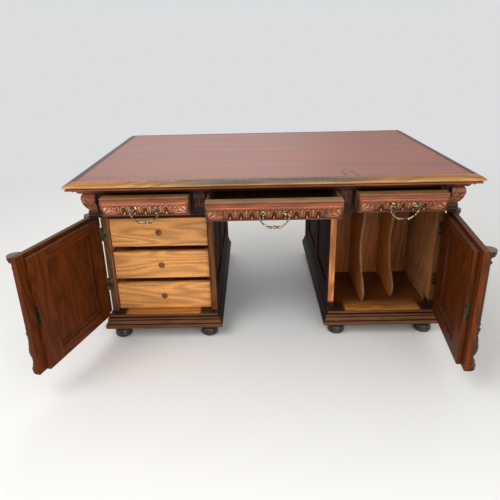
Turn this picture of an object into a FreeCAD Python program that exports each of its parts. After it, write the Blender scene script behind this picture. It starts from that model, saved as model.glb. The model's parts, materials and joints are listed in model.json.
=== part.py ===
# Partners desk in carved oak: a leather-lined top, a frieze with three drawers on each long side,
# and two pedestals with lipped doors, on moulded plinths and turned bun feet.
# Frame: millimetres, +Z up, origin on the floor under the middle of the desk, front side towards -Y.
# The front doors and the front frieze drawers are stored open, everything else is stored closed.
import FreeCAD, Part
import math
import os

os.makedirs("parts", exist_ok=True)

# ---------------------------------------------------------------- driving dimensions
TOP_WIDTH = 1696.0            # over the tips of the edge moulding
TOP_DEPTH = 1216.0
HEIGHT = 778.0                # floor to the leather
TOP_THICKNESS = 26.0
LEATHER_THICKNESS = 2.0
EDGE_WIDTH = 40.0             # edge moulding, from the board to its tip
TOP_OVERHANG = 76.0           # edge tip to the frieze plane, on all four sides

EDGE_HANG = 8.0               # bead of the edge moulding below the underside of the top
BED_HEIGHT = 30.0             # moulding under the top, also the height of the upper rails
OPENING_HEIGHT = 88.0         # frieze drawer openings
LOWER_RAIL_HEIGHT = 22.0
DUST_BOARD = 10.0             # board that closes the frieze below
RAIL_THICKNESS = 24.0

DOOR_STAND = 65.0             # frieze plane to the pedestals' front edges, room for door and columns
SIDE_STAND = 16.0             # frieze plane to the pedestals' outer sides
PEDESTAL_WIDTH = 496.0
WALL = 26.0
FOOT_HEIGHT = 58.0
PLINTH_HEIGHT = 64.0
PLINTH_REACH = 35.0           # ledge under the doors, wall front edge to the plinth's upper edge
PLINTH_TOP_BOARD = 18.0
PLINTH_BASE_BOARD = 16.0
PLINTH_FRAME = 18.0           # width of the framing behind the plinth moulding
PLINTH_FLARE = 28.0           # upper edge of the plinth to its widest line
CEILING_BOARD = 14.0
MID_PARTITION = 12.0
MID_PARTITION_Y = -70.0       # the back-to-back compartments differ in depth

KNEE_LAP = 9.0                # centre drawer opening past the knee wall, each side
BLOCK_WIDTH = 72.0            # carved blocks between the frieze drawers
CORNER_WIDTH = 70.0           # corner blocks of the frieze
PARTITION = 18.0              # boards beside the frieze drawers
CUSHION = 30.0                # how far the carved frieze cushion stands out

DRAWER_GAP = 1.5              # frieze drawer front to its opening
BOX_GAP = 1.5                 # drawer box to its guides
RUN_GAP = 0.5                 # drawer side to its runner
FRONT_PLANK = 24.0
SIDE_BOARD = 10.0
BOTTOM_BOARD = 6.0
BOTTOM_GROOVE = 4.0           # depth of the grooves that hold a drawer bottom
TAIL_PITCH = 25.0             # spacing of the dovetails
TAIL_LAP = 0.62               # share of a drawer front's thickness that the tails enter
FRIEZE_BOX_LENGTH = 490.0
RUNNER_WIDTH = 20.0

INNER_GAP = 27.0              # height left between the drawers in the left pedestal
INNER_SETBACK = 23.0          # closed inner drawers behind the wall's front edge
INNER_SIDE_GAP = 5.0
INNER_BOX_LENGTH = 335.0
INNER_FRONT_THICKNESS = 20.0
KNOB_RADIUS = 13.0
KNOB_LENGTH = 16.0

DOOR_OVERHANG = 10.0          # door past the wall, both edges
DOOR_LIP = 20.0               # thickness of the overlapping border
DOOR_RAISE = 18.0             # framed part that enters the opening
DOOR_AIR = 1.0                # door lip to the wall's front edge
DOOR_FLOOR_AIR = 3.0
DOOR_FIT = 6.0                # raised part to the walls
HINGE_STILE = 66.0            # widths of the raised frame members
LOCK_STILE = 88.0
DOOR_RAIL = 46.0
PANEL_THICKNESS = 12.0
PANEL_TONGUE = 7.0            # edge of a panel inside the grooves of its frame
BOLT_KEEP = 10.0              # mortise in the knee wall for a front door's bolt
COLUMN_INSET = 27.0           # column axis to the door's edge
COLUMN_RADIUS = 18.0
COLUMN_CAP_RADIUS = 30.0
LEFT_DOOR_OPEN = 106.5        # stored angles, degrees from closed
RIGHT_DOOR_OPEN = 83.0
LOCK_HEIGHT = 80.0            # selvage of a door lock
LOCK_DROP = 7.0               # lock's middle below the door's middle

PIN_RADIUS = 2.0
BARREL_RADIUS = 4.5
LEAF_THICKNESS = 1.5
LEAF_WIDTH = 24.0
HINGE_HEIGHT = 64.0
PIN_CLEARANCE = 0.1
PIN_CAP = 3.2
HINGE_PIN_OUT = 7.0           # hinge pin past the wall's outer side
HINGE_PIN_FORWARD = 3.0       # hinge pin in front of the wall's front edge

POST_SPACING = 86.0           # between the posts of a swan-neck handle
POST_REACH = 20.0             # rose plate to the handle's pin
POST_SPIGOT = 12.0            # tail of a post, let into the drawer front
POST_SPIGOT_RADIUS = 4.0
POST_HEAD = 6.4
ROSE_RADIUS = 11.0
HANDLE_SEAT = 20.0            # frieze plane to the rose plates' seats in the carved front
BAIL_DROP = 52.0
BAIL_SWELL = 15.0             # widest line of the bail past the axis of its post
BAIL_WIRE = 3.2
HANDLE_PIN = 2.2

DIVIDER_THICKNESS = 9.0
DIVIDER_STEP = 48.0           # the divider by the knee hole stands forward by this much
SHELF_THICKNESS = 16.0
BUN_RADIUS = 38.0

CENTRE_OPEN = 149.0           # how far the stored frieze drawers stand out
LEFT_OPEN = 60.0
RIGHT_OPEN = 74.0

# ---------------------------------------------------------------- derived planes and levels
FRIEZE_X = TOP_WIDTH / 2 - TOP_OVERHANG
FRIEZE_Y = TOP_DEPTH / 2 - TOP_OVERHANG
OUTER_X = FRIEZE_X - SIDE_STAND
KNEE_X = OUTER_X - PEDESTAL_WIDTH
WALL_Y = FRIEZE_Y - DOOR_STAND
BAY_IN = KNEE_X + WALL
BAY_OUT = OUTER_X - WALL
PEDESTAL_MID = (KNEE_X + OUTER_X) / 2
PLINTH_HALF = PEDESTAL_WIDTH / 2 - 4.0
PLINTH_Y = WALL_Y + PLINTH_REACH

TOP_UNDER = HEIGHT - TOP_THICKNESS
OPENING_TOP = TOP_UNDER - BED_HEIGHT
OPENING_LOW = OPENING_TOP - OPENING_HEIGHT
FRIEZE_LOW = OPENING_LOW - LOWER_RAIL_HEIGHT
PLINTH_TOP = FOOT_HEIGHT + PLINTH_HEIGHT
CEILING = FRIEZE_LOW - CEILING_BOARD
BAY_HEIGHT = CEILING - PLINTH_TOP

CENTRE_HALF = KNEE_X + KNEE_LAP
SIDE_IN = CENTRE_HALF + BLOCK_WIDTH
SIDE_OUT = FRIEZE_X - CORNER_WIDTH
RUN_TOP = OPENING_LOW + 2.0
BOX_LOW = RUN_TOP + RUN_GAP
PARTITION_Y = FRIEZE_Y - RAIL_THICKNESS

DOOR_IN = KNEE_X - DOOR_OVERHANG
DOOR_OUT = OUTER_X + DOOR_OVERHANG
DOOR_BACK = WALL_Y + DOOR_AIR
DOOR_FACE = DOOR_BACK + DOOR_LIP
DOOR_INNER = DOOR_BACK - DOOR_RAISE
DOOR_LOW = PLINTH_TOP + DOOR_FLOOR_AIR
DOOR_TOP = FRIEZE_LOW - 2.0
HINGE_X = OUTER_X + HINGE_PIN_OUT
HINGE_Y = WALL_Y + HINGE_PIN_FORWARD
HINGE_LEVELS = (DOOR_LOW + 140.0, DOOR_TOP - 100.0)
LOCK_LEVEL = (DOOR_LOW + DOOR_TOP) / 2 - LOCK_DROP

V = FreeCAD.Vector
UP = V(0, 0, 1)
ORIGIN = V(0, 0, 0)
FRONT, BACK = -1, 1
LEFT, RIGHT = -1, 1


# ---------------------------------------------------------------- small helpers
def block(x0, x1, y0, y1, z0, z1):
    """A board between two corners, given in any order."""
    low = V(min(x0, x1), min(y0, y1), min(z0, z1))
    return Part.makeBox(abs(x1 - x0), abs(y1 - y0), abs(z1 - z0), low)


def face_from(steps, place):
    """A face from an outline. A step is (a, b) for a straight run, or (a, b, c, d) for an arc
    that passes through (a, b) and ends at (c, d). place turns two numbers into a point."""
    start = place(*steps[0])
    here = start
    edges = []
    for step in steps[1:] + [steps[0]]:
        there = place(*step[-2:])
        if here.distanceToPoint(there) < 1e-6:
            continue
        if len(step) == 4:
            edges.append(Part.Arc(here, place(*step[:2]), there).toShape())
        else:
            edges.append(Part.LineSegment(here, there).toShape())
        here = there
    return Part.Face(Part.Wire(edges))


def turned(steps, x=0.0, y=0.0, angle=360.0, start=0.0):
    """A turned piece about a vertical axis, from (radius, height) steps."""
    face = face_from(steps, lambda r, z: V(r, 0, z))
    solid = face.revolve(ORIGIN, UP, angle)
    solid.rotate(ORIGIN, UP, start)
    solid.translate(V(x, y, 0))
    return solid


def dome(radius, low, top):
    """The step that closes a turned outline with a spherical cap on its axis."""
    rise = top - low
    ball = (radius * radius + rise * rise) / (2 * rise)
    half = math.asin(radius / ball) / 2
    return (ball * math.sin(half), top - ball * (1 - math.cos(half)), 0, top)


def flat_slab(points, z0, z1):
    corners = [V(x, y, z0) for x, y in points]
    return Part.Face(Part.makePolygon(corners + corners[:1])).extrude(V(0, 0, z1 - z0))


def moulding_bar(steps, half_length, offset):
    """One mitred side of a moulding, along X, facing -Y. steps give (outward, height)."""
    outward = [s[0] for s in steps] + [s[2] for s in steps if len(s) == 4]
    levels = [s[-1] for s in steps]
    reach = max(outward) + 1.0
    root = -min(outward) + 1.0
    length = half_length + reach
    face = face_from(steps, lambda p, z: V(-length, -offset - p, z))
    bar = face.extrude(V(2 * length, 0, 0))
    wedge = flat_slab(
        [
            (-half_length - reach, -offset - reach),
            (half_length + reach, -offset - reach),
            (half_length - root, -offset + root),
            (-half_length + root, -offset + root),
        ],
        min(levels) - 5.0,
        max(levels) + 5.0,
    )
    return bar.common(wedge).Solids[0]


def moulding_ring(steps, half_x, half_y, centre_x=0.0):
    """Four mitred bars round a rectangle, in the order front, right, back, left."""
    bars = []
    for turn in range(4):
        length, offset = (half_x, half_y) if turn % 2 == 0 else (half_y, half_x)
        bar = moulding_bar(steps, length, offset)
        bar.rotate(ORIGIN, UP, 90.0 * turn)
        bar.translate(V(centre_x, 0, 0))
        bars.append(bar)
    return bars


def front_bar(steps, x0, x1, plane):
    """A straight moulding along X that faces -Y, from (outward, height) steps."""
    face = face_from(steps, lambda p, z: V(x0, -plane - p, z))
    return face.extrude(V(x1 - x0, 0, 0))


def mirrored_x(shape):
    return shape.mirror(ORIGIN, V(1, 0, 0))


def to_back(shape):
    """The same piece on the other long side of the desk."""
    turned_round = shape.copy()
    turned_round.rotate(ORIGIN, UP, 180.0)
    return turned_round


def moved(shape, x=0.0, y=0.0, z=0.0):
    copy = shape.copy()
    copy.translate(V(x, y, z))
    return copy


def both_hands(shapes):
    return shapes + [mirrored_x(s) for s in shapes]


def write(node, solids):
    Part.makeCompound(solids).exportStep("parts/" + node + ".step")


# ---------------------------------------------------------------- top
def build_top():
    board_x = TOP_WIDTH / 2 - EDGE_WIDTH
    board_y = TOP_DEPTH / 2 - EDGE_WIDTH
    wood_top = HEIGHT - LEATHER_THICKNESS
    write("top_board", [block(-board_x, board_x, -board_y, board_y, TOP_UNDER, wood_top)])
    write("writing_leather", [block(-board_x, board_x, -board_y, board_y, wood_top, HEIGHT)])

    # a bead that hangs below the board, a quirk, a round nosing and a long bevel
    under = TOP_UNDER
    quirk = EDGE_WIDTH - 12
    edge = [
        (0, under),
        (EDGE_WIDTH - 24, under),
        (EDGE_WIDTH - 24, under - EDGE_HANG),
        (quirk - 1, under - EDGE_HANG),
        (quirk + 4, under - EDGE_HANG / 2, quirk, under),
        (quirk, under + 3),
        (EDGE_WIDTH - 6, under + 4),
        (EDGE_WIDTH, under + 9.5, EDGE_WIDTH - 5, under + 15),
        (10, HEIGHT - 0.5),
        (8, HEIGHT),
        (0, HEIGHT),
    ]
    write("top_edge_moulding", moulding_ring(edge, board_x, board_y))

    low = OPENING_TOP
    bed = [
        (-20, low),
        (12, low),
        (12, low + 3),
        (17, low + 8, 12, low + 13),
        (17, low + 13),
        (17, low + 16),
        (23, low + 20, 33, low + 26),
        (38, low + 26),
        (38, TOP_UNDER),
        (-20, TOP_UNDER),
    ]
    write("bed_moulding", moulding_ring(bed, FRIEZE_X, FRIEZE_Y))


# ---------------------------------------------------------------- frieze
def frieze_bays():
    """Left and right edges of the three drawer openings on a long side."""
    return {
        "left": (-SIDE_OUT, -SIDE_IN),
        "centre": (-CENTRE_HALF, CENTRE_HALF),
        "right": (SIDE_IN, SIDE_OUT),
    }


def build_frieze():
    inner_y = PARTITION_Y
    rail_x = FRIEZE_X - 20.0
    front_rails = [
        block(-rail_x, rail_x, -FRIEZE_Y + 20, -inner_y + 20, OPENING_TOP, TOP_UNDER),
        block(-rail_x, rail_x, -FRIEZE_Y, -inner_y, FRIEZE_LOW, OPENING_LOW),
    ]
    solids = front_rails + [to_back(s) for s in front_rails]

    rail = LOWER_RAIL_HEIGHT
    lower = [
        (0, FRIEZE_LOW),
        (3, FRIEZE_LOW),
        (3, FRIEZE_LOW + rail * 0.15),
        (8, FRIEZE_LOW + rail * 0.4, 3, FRIEZE_LOW + rail * 0.65),
        (3, FRIEZE_LOW + rail * 0.72),
        (6, FRIEZE_LOW + rail * 0.86, 3, OPENING_LOW),
        (0, OPENING_LOW),
    ]
    solids += moulding_ring(lower, FRIEZE_X, FRIEZE_Y)

    end_x = FRIEZE_X - SIDE_STAND
    dust = block(-end_x, end_x, -inner_y, inner_y, FRIEZE_LOW, FRIEZE_LOW + DUST_BOARD)
    solids.append(dust)
    dust_top = FRIEZE_LOW + DUST_BOARD
    for edge in (CENTRE_HALF, SIDE_IN - PARTITION, SIDE_OUT):
        solids += both_hands([block(edge, edge + PARTITION, -inner_y, inner_y, dust_top, OPENING_TOP)])
    stop = 8.0
    for low_x, high_x in frieze_bays().values():
        solids.append(block(low_x, high_x, -stop, stop, dust_top, OPENING_TOP))
        for x0, x1 in ((low_x, low_x + RUNNER_WIDTH), (high_x - RUNNER_WIDTH, high_x)):
            solids.append(block(x0, x1, -inner_y, -stop, dust_top, RUN_TOP))
            solids.append(block(x0, x1, stop, inner_y, dust_top, RUN_TOP))
    write("frieze_frame", solids)

    ends = [block(end_x, FRIEZE_X, -inner_y, inner_y, FRIEZE_LOW, OPENING_TOP)]
    write("frieze_end_boards", both_hands(ends))


def cushion_outline(low, high):
    """Section of the carved frieze: fillet, quarter-round swell, fillet and cove."""
    return [
        (0, low),
        (4, low),
        (4, low + 6),
        (2, low + 8),
        (17, low + 24, CUSHION - 4, high - 30),
        (CUSHION, high - 28),
        (CUSHION, high - 22),
        (CUSHION - 7, high - 14, CUSHION - 3, high - 5),
        (CUSHION - 3, high),
        (0, high),
    ]


def build_blocks():
    low = OPENING_LOW
    high = OPENING_TOP
    mid = (CENTRE_HALF + SIDE_IN) / 2
    half = BLOCK_WIDTH / 2
    plane = FRIEZE_Y
    backing = block(mid - half, mid + half, -plane - 4, -PARTITION_Y, low, high)
    tablet = block(mid - half + 12, mid + half - 12, -plane - 14, -plane - 3, low + 8, high - 8)
    edges = [e for e in tablet.Edges if abs(e.CenterOfMass.y + plane + 14) < 0.01]
    tablet = tablet.makeChamfer(5.0, edges)
    bead_steps = [(0, low), (5, low), (5, high), (0, high)]
    beads = [
        turned(bead_steps, mid + side * (half - 6), -plane - 4) for side in (LEFT, RIGHT)
    ]
    between = backing.fuse([tablet] + beads).removeSplitter()

    # the cushion runs along each end and returns a little way along the long sides
    return_width = 34.0
    ring = moulding_ring(cushion_outline(low, high), FRIEZE_X, FRIEZE_Y)
    inner = FRIEZE_X - return_width
    keep_right = block(inner, FRIEZE_X + 60, -FRIEZE_Y - 60, 0, low - 5, high + 5)
    returns = ring[0].common(keep_right).Solids[0]
    oval_mid = (SIDE_OUT + inner) / 2
    oval_half = (inner - SIDE_OUT) / 2
    stile = block(SIDE_OUT, FRIEZE_X, -plane, -PARTITION_Y, low, high)
    oval = turned(
        [
            (0, low + 4),
            (5, low + 4),
            (oval_half - 4, low + 20, oval_half - 1, (low + high) / 2),
            (oval_half - 4, high - 20, 5, high - 4),
            (0, high - 4),
        ],
        oval_mid,
        -plane + 2,
    )
    corner = stile.fuse(oval).removeSplitter()
    solids = []
    for piece in (between, corner, returns):
        for hand in (piece, mirrored_x(piece)):
            solids += [hand, to_back(hand)]
    write("frieze_blocks", solids + [ring[1], ring[3]])


# ---------------------------------------------------------------- pedestals
def fielded_panel(x0, x1, y0, y1, z0, z1, outward):
    """A side panel in the Y-Z plane, with a raised field on its face at x1."""
    grip = PANEL_TONGUE
    tongue = block(x0, x1, y0 - grip, y1 + grip, z0 - grip, z1 + grip)
    rise = 5.0 * outward
    margin = 26.0
    bevel = 14.0

    def loop(inset, x):
        corners = [(y0 + inset, z0 + inset), (y1 - inset, z0 + inset)]
        corners += [(y1 - inset, z1 - inset), (y0 + inset, z1 - inset)]
        points = [V(x, y, z) for y, z in corners]
        return Part.makePolygon(points + points[:1])

    field = Part.makeLoft([loop(margin, x1), loop(margin + bevel, x1 + rise)], True)
    return tongue.fuse(field).removeSplitter()


def side_wall(x_in, x_out):
    """A framed wall of the right pedestal with two fielded panels. x_out is its show face."""
    stile = 78.0
    muntin = 84.0
    top_rail = 62.0
    low_rail = 84.0
    outward = 1 if x_out > x_in else -1
    z0 = PLINTH_TOP
    z1 = FRIEZE_LOW
    members = [
        block(x_in, x_out, -WALL_Y, -WALL_Y + stile, z0, z1),
        block(x_in, x_out, WALL_Y - stile, WALL_Y, z0, z1),
        block(x_in, x_out, -WALL_Y + stile, WALL_Y - stile, z0, z0 + low_rail),
        block(x_in, x_out, -WALL_Y + stile, WALL_Y - stile, z1 - top_rail, z1),
        block(x_in, x_out, -muntin / 2, muntin / 2, z0 + low_rail, z1 - top_rail),
    ]
    panel_face = x_out - 9.0 * outward
    panel_back = panel_face - PANEL_THICKNESS * outward
    panels = [
        fielded_panel(panel_back, panel_face, y0, y1, z0 + low_rail, z1 - top_rail, outward)
        for y0, y1 in ((-WALL_Y + stile, -muntin / 2), (muntin / 2, WALL_Y - stile))
    ]
    return [m.cut(panels).Solids[0] for m in members] + panels


def cut_for_hinges(piece):
    """Let the fixed hinge leaves into the front edge of an outer wall, closed flush."""
    for level in HINGE_LEVELS:
        leaf = block(
            HINGE_X - LEAF_WIDTH - 4, OUTER_X + 1,
            -WALL_Y - 1, -WALL_Y + LEAF_THICKNESS,
            level - HINGE_HEIGHT / 2, level + HINGE_HEIGHT / 2,
        )
        piece = piece.cut(leaf)
    return piece.Solids[0]


def build_pedestals():
    outer = side_wall(BAY_OUT, OUTER_X)
    outer[0] = cut_for_hinges(outer[0])
    outer[1] = cut_for_hinges(outer[1].mirror(ORIGIN, V(0, 1, 0))).mirror(ORIGIN, V(0, 1, 0))
    write("outer_sides", both_hands(outer))

    knee = side_wall(BAY_IN, KNEE_X)
    keep = block(
        BAY_IN - BOLT_KEEP, BAY_IN + 1, -DOOR_INNER - 12, -DOOR_INNER - 2,
        LOCK_LEVEL - 12, LOCK_LEVEL + 12,
    )
    knee[0] = knee[0].cut(keep).Solids[0]
    write("knee_sides", both_hands(knee))

    floor_in = PEDESTAL_MID - PLINTH_HALF
    floor_out = PEDESTAL_MID + PLINTH_HALF
    floor_low = PLINTH_TOP - PLINTH_TOP_BOARD
    floor = block(floor_in, floor_out, -PLINTH_Y, PLINTH_Y, floor_low, PLINTH_TOP)
    ceiling = block(BAY_IN, BAY_OUT, -WALL_Y, WALL_Y, CEILING, FRIEZE_LOW)
    thick = MID_PARTITION / 2
    middle = block(BAY_IN, BAY_OUT, MID_PARTITION_Y - thick, MID_PARTITION_Y + thick, PLINTH_TOP, CEILING)
    shelf_z = PLINTH_TOP + BAY_HEIGHT * 0.5
    shelf = block(
        BAY_IN, BAY_OUT, MID_PARTITION_Y + thick, DOOR_INNER - 20,
        shelf_z - SHELF_THICKNESS, shelf_z,
    )
    boards = both_hands([floor, ceiling, middle, shelf])
    for low, _ in inner_levels():
        batten = 14.0
        top = low + 4.0 - RUN_GAP
        bottom = max(top - batten, PLINTH_TOP)
        y0 = -WALL_Y + INNER_SETBACK + INNER_FRONT_THICKNESS
        y1 = MID_PARTITION_Y - thick
        for x0, x1 in ((-BAY_OUT, -BAY_OUT + RUNNER_WIDTH), (-BAY_IN - RUNNER_WIDTH, -BAY_IN)):
            boards.append(block(x0, x1, y0, y1, bottom, top))
    write("pedestal_boards", boards)


def plinth_outline(reach):
    """Section of the flaring plinth: rounds, hollows and fillets stepping out to the base."""
    top = PLINTH_TOP
    low = FOOT_HEIGHT
    return [
        (0, top),
        (2, top),
        (6, top - 2, 8, top - 6),
        (8, top - 9),
        (10, top - 9),
        (16, top - 11, reach * 0.6, top - 19),
        (reach * 0.6, top - 22),
        (reach * 0.66, top - 22),
        (reach * 0.72, top - 31, reach - 4, top - 37),
        (reach - 4, top - 40),
        (reach, top - 42),
        (reach, low + 7),
        (reach - 3, low + 3),
        (reach - 6, low),
        (-PLINTH_FRAME, low),
        (-PLINTH_FRAME, top - PLINTH_TOP_BOARD),
        (0, top - PLINTH_TOP_BOARD),
    ]


def build_plinths():
    solids = []
    for side in (LEFT, RIGHT):
        middle = side * PEDESTAL_MID
        solids += moulding_ring(plinth_outline(PLINTH_FLARE), PLINTH_HALF, PLINTH_Y, middle)
        inner_x = PLINTH_HALF - PLINTH_FRAME
        inner_y = PLINTH_Y - PLINTH_FRAME
        solids.append(
            block(
                middle - inner_x, middle + inner_x, -inner_y, inner_y,
                FOOT_HEIGHT, FOOT_HEIGHT + PLINTH_BASE_BOARD,
            )
        )
    write("plinths", solids)

    bun = [
        (0, 0),
        (20, 0),
        (26, 3),
        (BUN_RADIUS, 10, BUN_RADIUS, 24),
        (BUN_RADIUS - 2, 38, 28, 44),
        (24, 45),
        (24, 49),
        (27, 51, 27, FOOT_HEIGHT),
        (0, FOOT_HEIGHT),
    ]
    inset_x = PEDESTAL_WIDTH / 2 - 42.0
    foot_y = PLINTH_Y - 26.0
    feet = []
    for side in (LEFT, RIGHT):
        for across in (LEFT, RIGHT):
            for along in (FRONT, BACK):
                x = side * PEDESTAL_MID + across * inset_x
                feet.append(turned(bun, x, along * foot_y))
    write("bun_feet", feet)


def divider(forward):
    """An upright divider with a serpentine front edge, moved forward by a distance."""
    back = MID_PARTITION_Y - MID_PARTITION / 2
    low = PLINTH_TOP
    high = CEILING
    # setback from the walls' front edges, at shares of the compartment's height
    serpentine = [
        (105, 0.0), (89, 0.14), (127, 0.235), (175, 0.36),
        (199, 0.525), (193, 0.64), (167, 0.81), (149, 1.0),
    ]
    front_edge = [
        V(0, -WALL_Y + setback - forward, low + BAY_HEIGHT * share) for setback, share in serpentine
    ]
    curve = Part.BSplineCurve()
    curve.interpolate(front_edge)
    rim = [
        curve.toShape(),
        Part.LineSegment(front_edge[-1], V(0, back, high)).toShape(),
        Part.LineSegment(V(0, back, high), V(0, back, low)).toShape(),
        Part.LineSegment(V(0, back, low), front_edge[0]).toShape(),
    ]
    return Part.Face(Part.Wire(rim)).extrude(V(DIVIDER_THICKNESS, 0, 0))


def build_dividers():
    """Two dividers in the right pedestal; the one by the knee hole stands further forward."""
    bay = (BAY_OUT - BAY_IN - 2 * DIVIDER_THICKNESS) / 3
    first = BAY_IN + bay
    second = first + DIVIDER_THICKNESS + bay
    write("letter_dividers", [moved(divider(DIVIDER_STEP), first), moved(divider(0.0), second)])


# ---------------------------------------------------------------- drawers
def dovetails(x0, x1, root_y, depth, low, high):
    """The tails of a drawer side, from the back face of its front into the wood."""
    count = max(2, round((high - low) / TAIL_PITCH))
    pitch = (high - low) / count
    tails = []
    for row in range(count):
        middle = low + pitch * (row + 0.5)
        narrow = pitch * 0.27
        wide = pitch * 0.36
        corners = [
            V(x0, root_y, middle - narrow),
            V(x0, root_y - depth, middle - wide),
            V(x0, root_y - depth, middle + wide),
            V(x0, root_y, middle + narrow),
        ]
        face = Part.Face(Part.makePolygon(corners + corners[:1]))
        tails.append(face.extrude(V(x1 - x0, 0, 0)))
    return tails


def drawer_box(front, x0, x1, front_y, lap, length, low, high):
    """A front with its sides dovetailed in, its back and its bottom in grooves, towards -Y.

    front_y is the front's back face, and lap is how deep the tails go into the front."""
    floor = low + 6.0
    back_y = front_y + length
    groove = SIDE_BOARD - BOTTOM_GROOVE
    bottom = block(x0 + groove, x1 - groove, front_y - BOTTOM_GROOVE, back_y, floor, floor + BOTTOM_BOARD)
    sides = []
    for side_in, side_out in ((x0 + SIDE_BOARD, x0), (x1 - SIDE_BOARD, x1)):
        tails = dovetails(side_in, side_out, front_y, lap, low, high)
        side = block(side_in, side_out, front_y, back_y, low, high)
        sides.append(side.fuse(tails).removeSplitter().cut(bottom).Solids[0])
        front = front.cut(tails)
    front = front.cut(bottom).Solids[0]
    back = block(x0 + SIDE_BOARD, x1 - SIDE_BOARD, back_y - 8, back_y, floor + BOTTOM_BOARD, high)
    return front, sides + [back, bottom]


def frieze_drawer(x0, x1):
    """Front and box of a closed frieze drawer on the front side."""
    low = OPENING_LOW + 2.0
    high = OPENING_TOP - 4.0
    outline = cushion_outline(low, high)
    section = [(-FRONT_PLANK, low)] + outline[1:-1] + [(-FRONT_PLANK, high)]
    front = front_bar(section, x0 + DRAWER_GAP, x1 - DRAWER_GAP, FRIEZE_Y)
    inner = -FRIEZE_Y + FRONT_PLANK
    return drawer_box(
        front, x0 + BOX_GAP, x1 - BOX_GAP, inner, FRONT_PLANK * TAIL_LAP, FRIEZE_BOX_LENGTH,
        BOX_LOW, high - 3.0,
    )


def handle_level():
    """Height of the handle pins above the floor: the bail clears the doors below."""
    return FRIEZE_LOW + BAIL_DROP + 8.0


def handle_posts(x, face_y, z):
    """Two turned posts with rose plates. Each has a cross hole for the bail's pin."""
    pin_y = face_y - POST_REACH
    posts = []
    for side in (LEFT, RIGHT):
        px = x + side * POST_SPACING / 2
        stem = [
            (0, -POST_SPIGOT),
            (POST_SPIGOT_RADIUS, -POST_SPIGOT),
            (POST_SPIGOT_RADIUS, 0),
            (ROSE_RADIUS, 0),
            (ROSE_RADIUS, 2),
            (8, 4, 5, 5),
            (3.4, 7),
            (3.4, POST_REACH - 7),
            (POST_HEAD - 1.5, POST_REACH - 4.5, POST_HEAD, POST_REACH),
            (POST_HEAD - 1.5, POST_REACH + 4.5, 2.5, POST_REACH + 6),
            (0, POST_REACH + 6.4),
        ]
        post = turned(stem)
        post.rotate(ORIGIN, V(1, 0, 0), 90.0)
        post.translate(V(px, face_y, z))
        hole = Part.makeCylinder(HANDLE_PIN + PIN_CLEARANCE, 20, V(px - 10, pin_y, z), V(1, 0, 0))
        posts.append(post.cut(hole).Solids[0])
    return posts


def handle_bail(x, face_y, z):
    """A swan-neck bail: pins, outward scrolls, leaf swellings and a centre knop, in one casting."""
    pin_y = face_y - POST_REACH
    inner = POST_SPACING / 2 - 8.0
    half = POST_SPACING / 2 + BAIL_SWELL
    drop = BAIL_DROP
    eye_radius = BAIL_WIRE + 0.6
    eye = POST_SPACING / 2 + POST_HEAD + 1.0 + eye_radius

    def point(px, pz):
        return V(x + px, pin_y, z + pz)

    solids = []
    for side in (LEFT, RIGHT):
        start = point(side * inner, 0)
        solids.append(Part.makeCylinder(HANDLE_PIN, eye - inner, start, V(side, 0, 0)))
        solids.append(Part.makeSphere(eye_radius, point(side * eye, 0)))
        arcs = [
            Part.Arc(point(side * eye, 0), point(side * half, -6), point(side * (half - 1), -15)),
            Part.Arc(
                point(side * (half - 1), -15),
                point(side * (half - 14), -drop * 0.72),
                point(side * 26, -drop + 3),
            ),
            Part.Arc(point(side * 26, -drop + 3), point(side * 14, -drop + 1), point(0, -drop)),
        ]
        for arc in arcs:
            edge = arc.toShape()
            first = edge.FirstParameter
            ring = Part.Circle(edge.valueAt(first), edge.tangentAt(first), BAIL_WIRE).toShape()
            solids.append(Part.Wire(edge).makePipeShell([Part.Wire(ring)], True, False))
        leaf = turned([(0, 0), (2, 0), (5.4, 10, 2, 24), (0, 24)])
        leaf.rotate(ORIGIN, V(0, 1, 0), side * 98.0)
        leaf.translate(point(side * 5, -drop + 0.5))
        solids.append(leaf)
    knop = turned([(0, -5), (3, -5), (7.5, 0, 3, 5), (0, 5)])
    knop.rotate(ORIGIN, V(0, 1, 0), 90.0)
    knop.translate(point(0, -drop))
    bail = knop.fuse(solids)
    return bail.Solids


def seat_for_posts(front, x, face_y, z):
    """Spot faces and holes for the two handle posts in a carved front."""
    for side in (LEFT, RIGHT):
        px = x + side * POST_SPACING / 2
        spot = Part.makeCylinder(ROSE_RADIUS + 0.2, CUSHION, V(px, face_y, z), V(0, -1, 0))
        hole = Part.makeCylinder(
            POST_SPIGOT_RADIUS + PIN_CLEARANCE, POST_SPIGOT, V(px, face_y, z), V(0, 1, 0)
        )
        front = front.cut(spot).cut(hole)
    return front.Solids[0]


def build_frieze_drawers():
    opened = {"left": LEFT_OPEN, "centre": CENTRE_OPEN, "right": RIGHT_OPEN}
    z = handle_level()
    face = -FRIEZE_Y - HANDLE_SEAT
    for name, (x0, x1) in frieze_bays().items():
        middle = (x0 + x1) / 2
        front, box = frieze_drawer(x0, x1)
        front = seat_for_posts(front, middle, face, z)
        posts = handle_posts(middle, face, z)
        bail = handle_bail(middle, face, z)
        out = -opened[name]
        write(name + "_drawer_front", [moved(front, y=out)])
        write(name + "_drawer_box", [moved(s, y=out) for s in box])
        write(name + "_handle_posts", [moved(s, y=out) for s in posts])
        write(name + "_handle_bail", [moved(s, y=out) for s in bail])
        other = {"left": "right", "centre": "centre", "right": "left"}[name]
        write("back_" + other + "_drawer", [to_back(s) for s in [front] + box])
        write("back_" + other + "_handle_posts", [to_back(s) for s in posts])
        write("back_" + other + "_handle_bail", [to_back(s) for s in bail])


def inner_levels():
    """Bottom and top of the three drawers in the left pedestal, the lowest first."""
    pitch = BAY_HEIGHT / 3
    return [
        (PLINTH_TOP + 2 + pitch * row, PLINTH_TOP + 2 + pitch * (row + 1) - INNER_GAP)
        for row in range(3)
    ]


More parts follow.
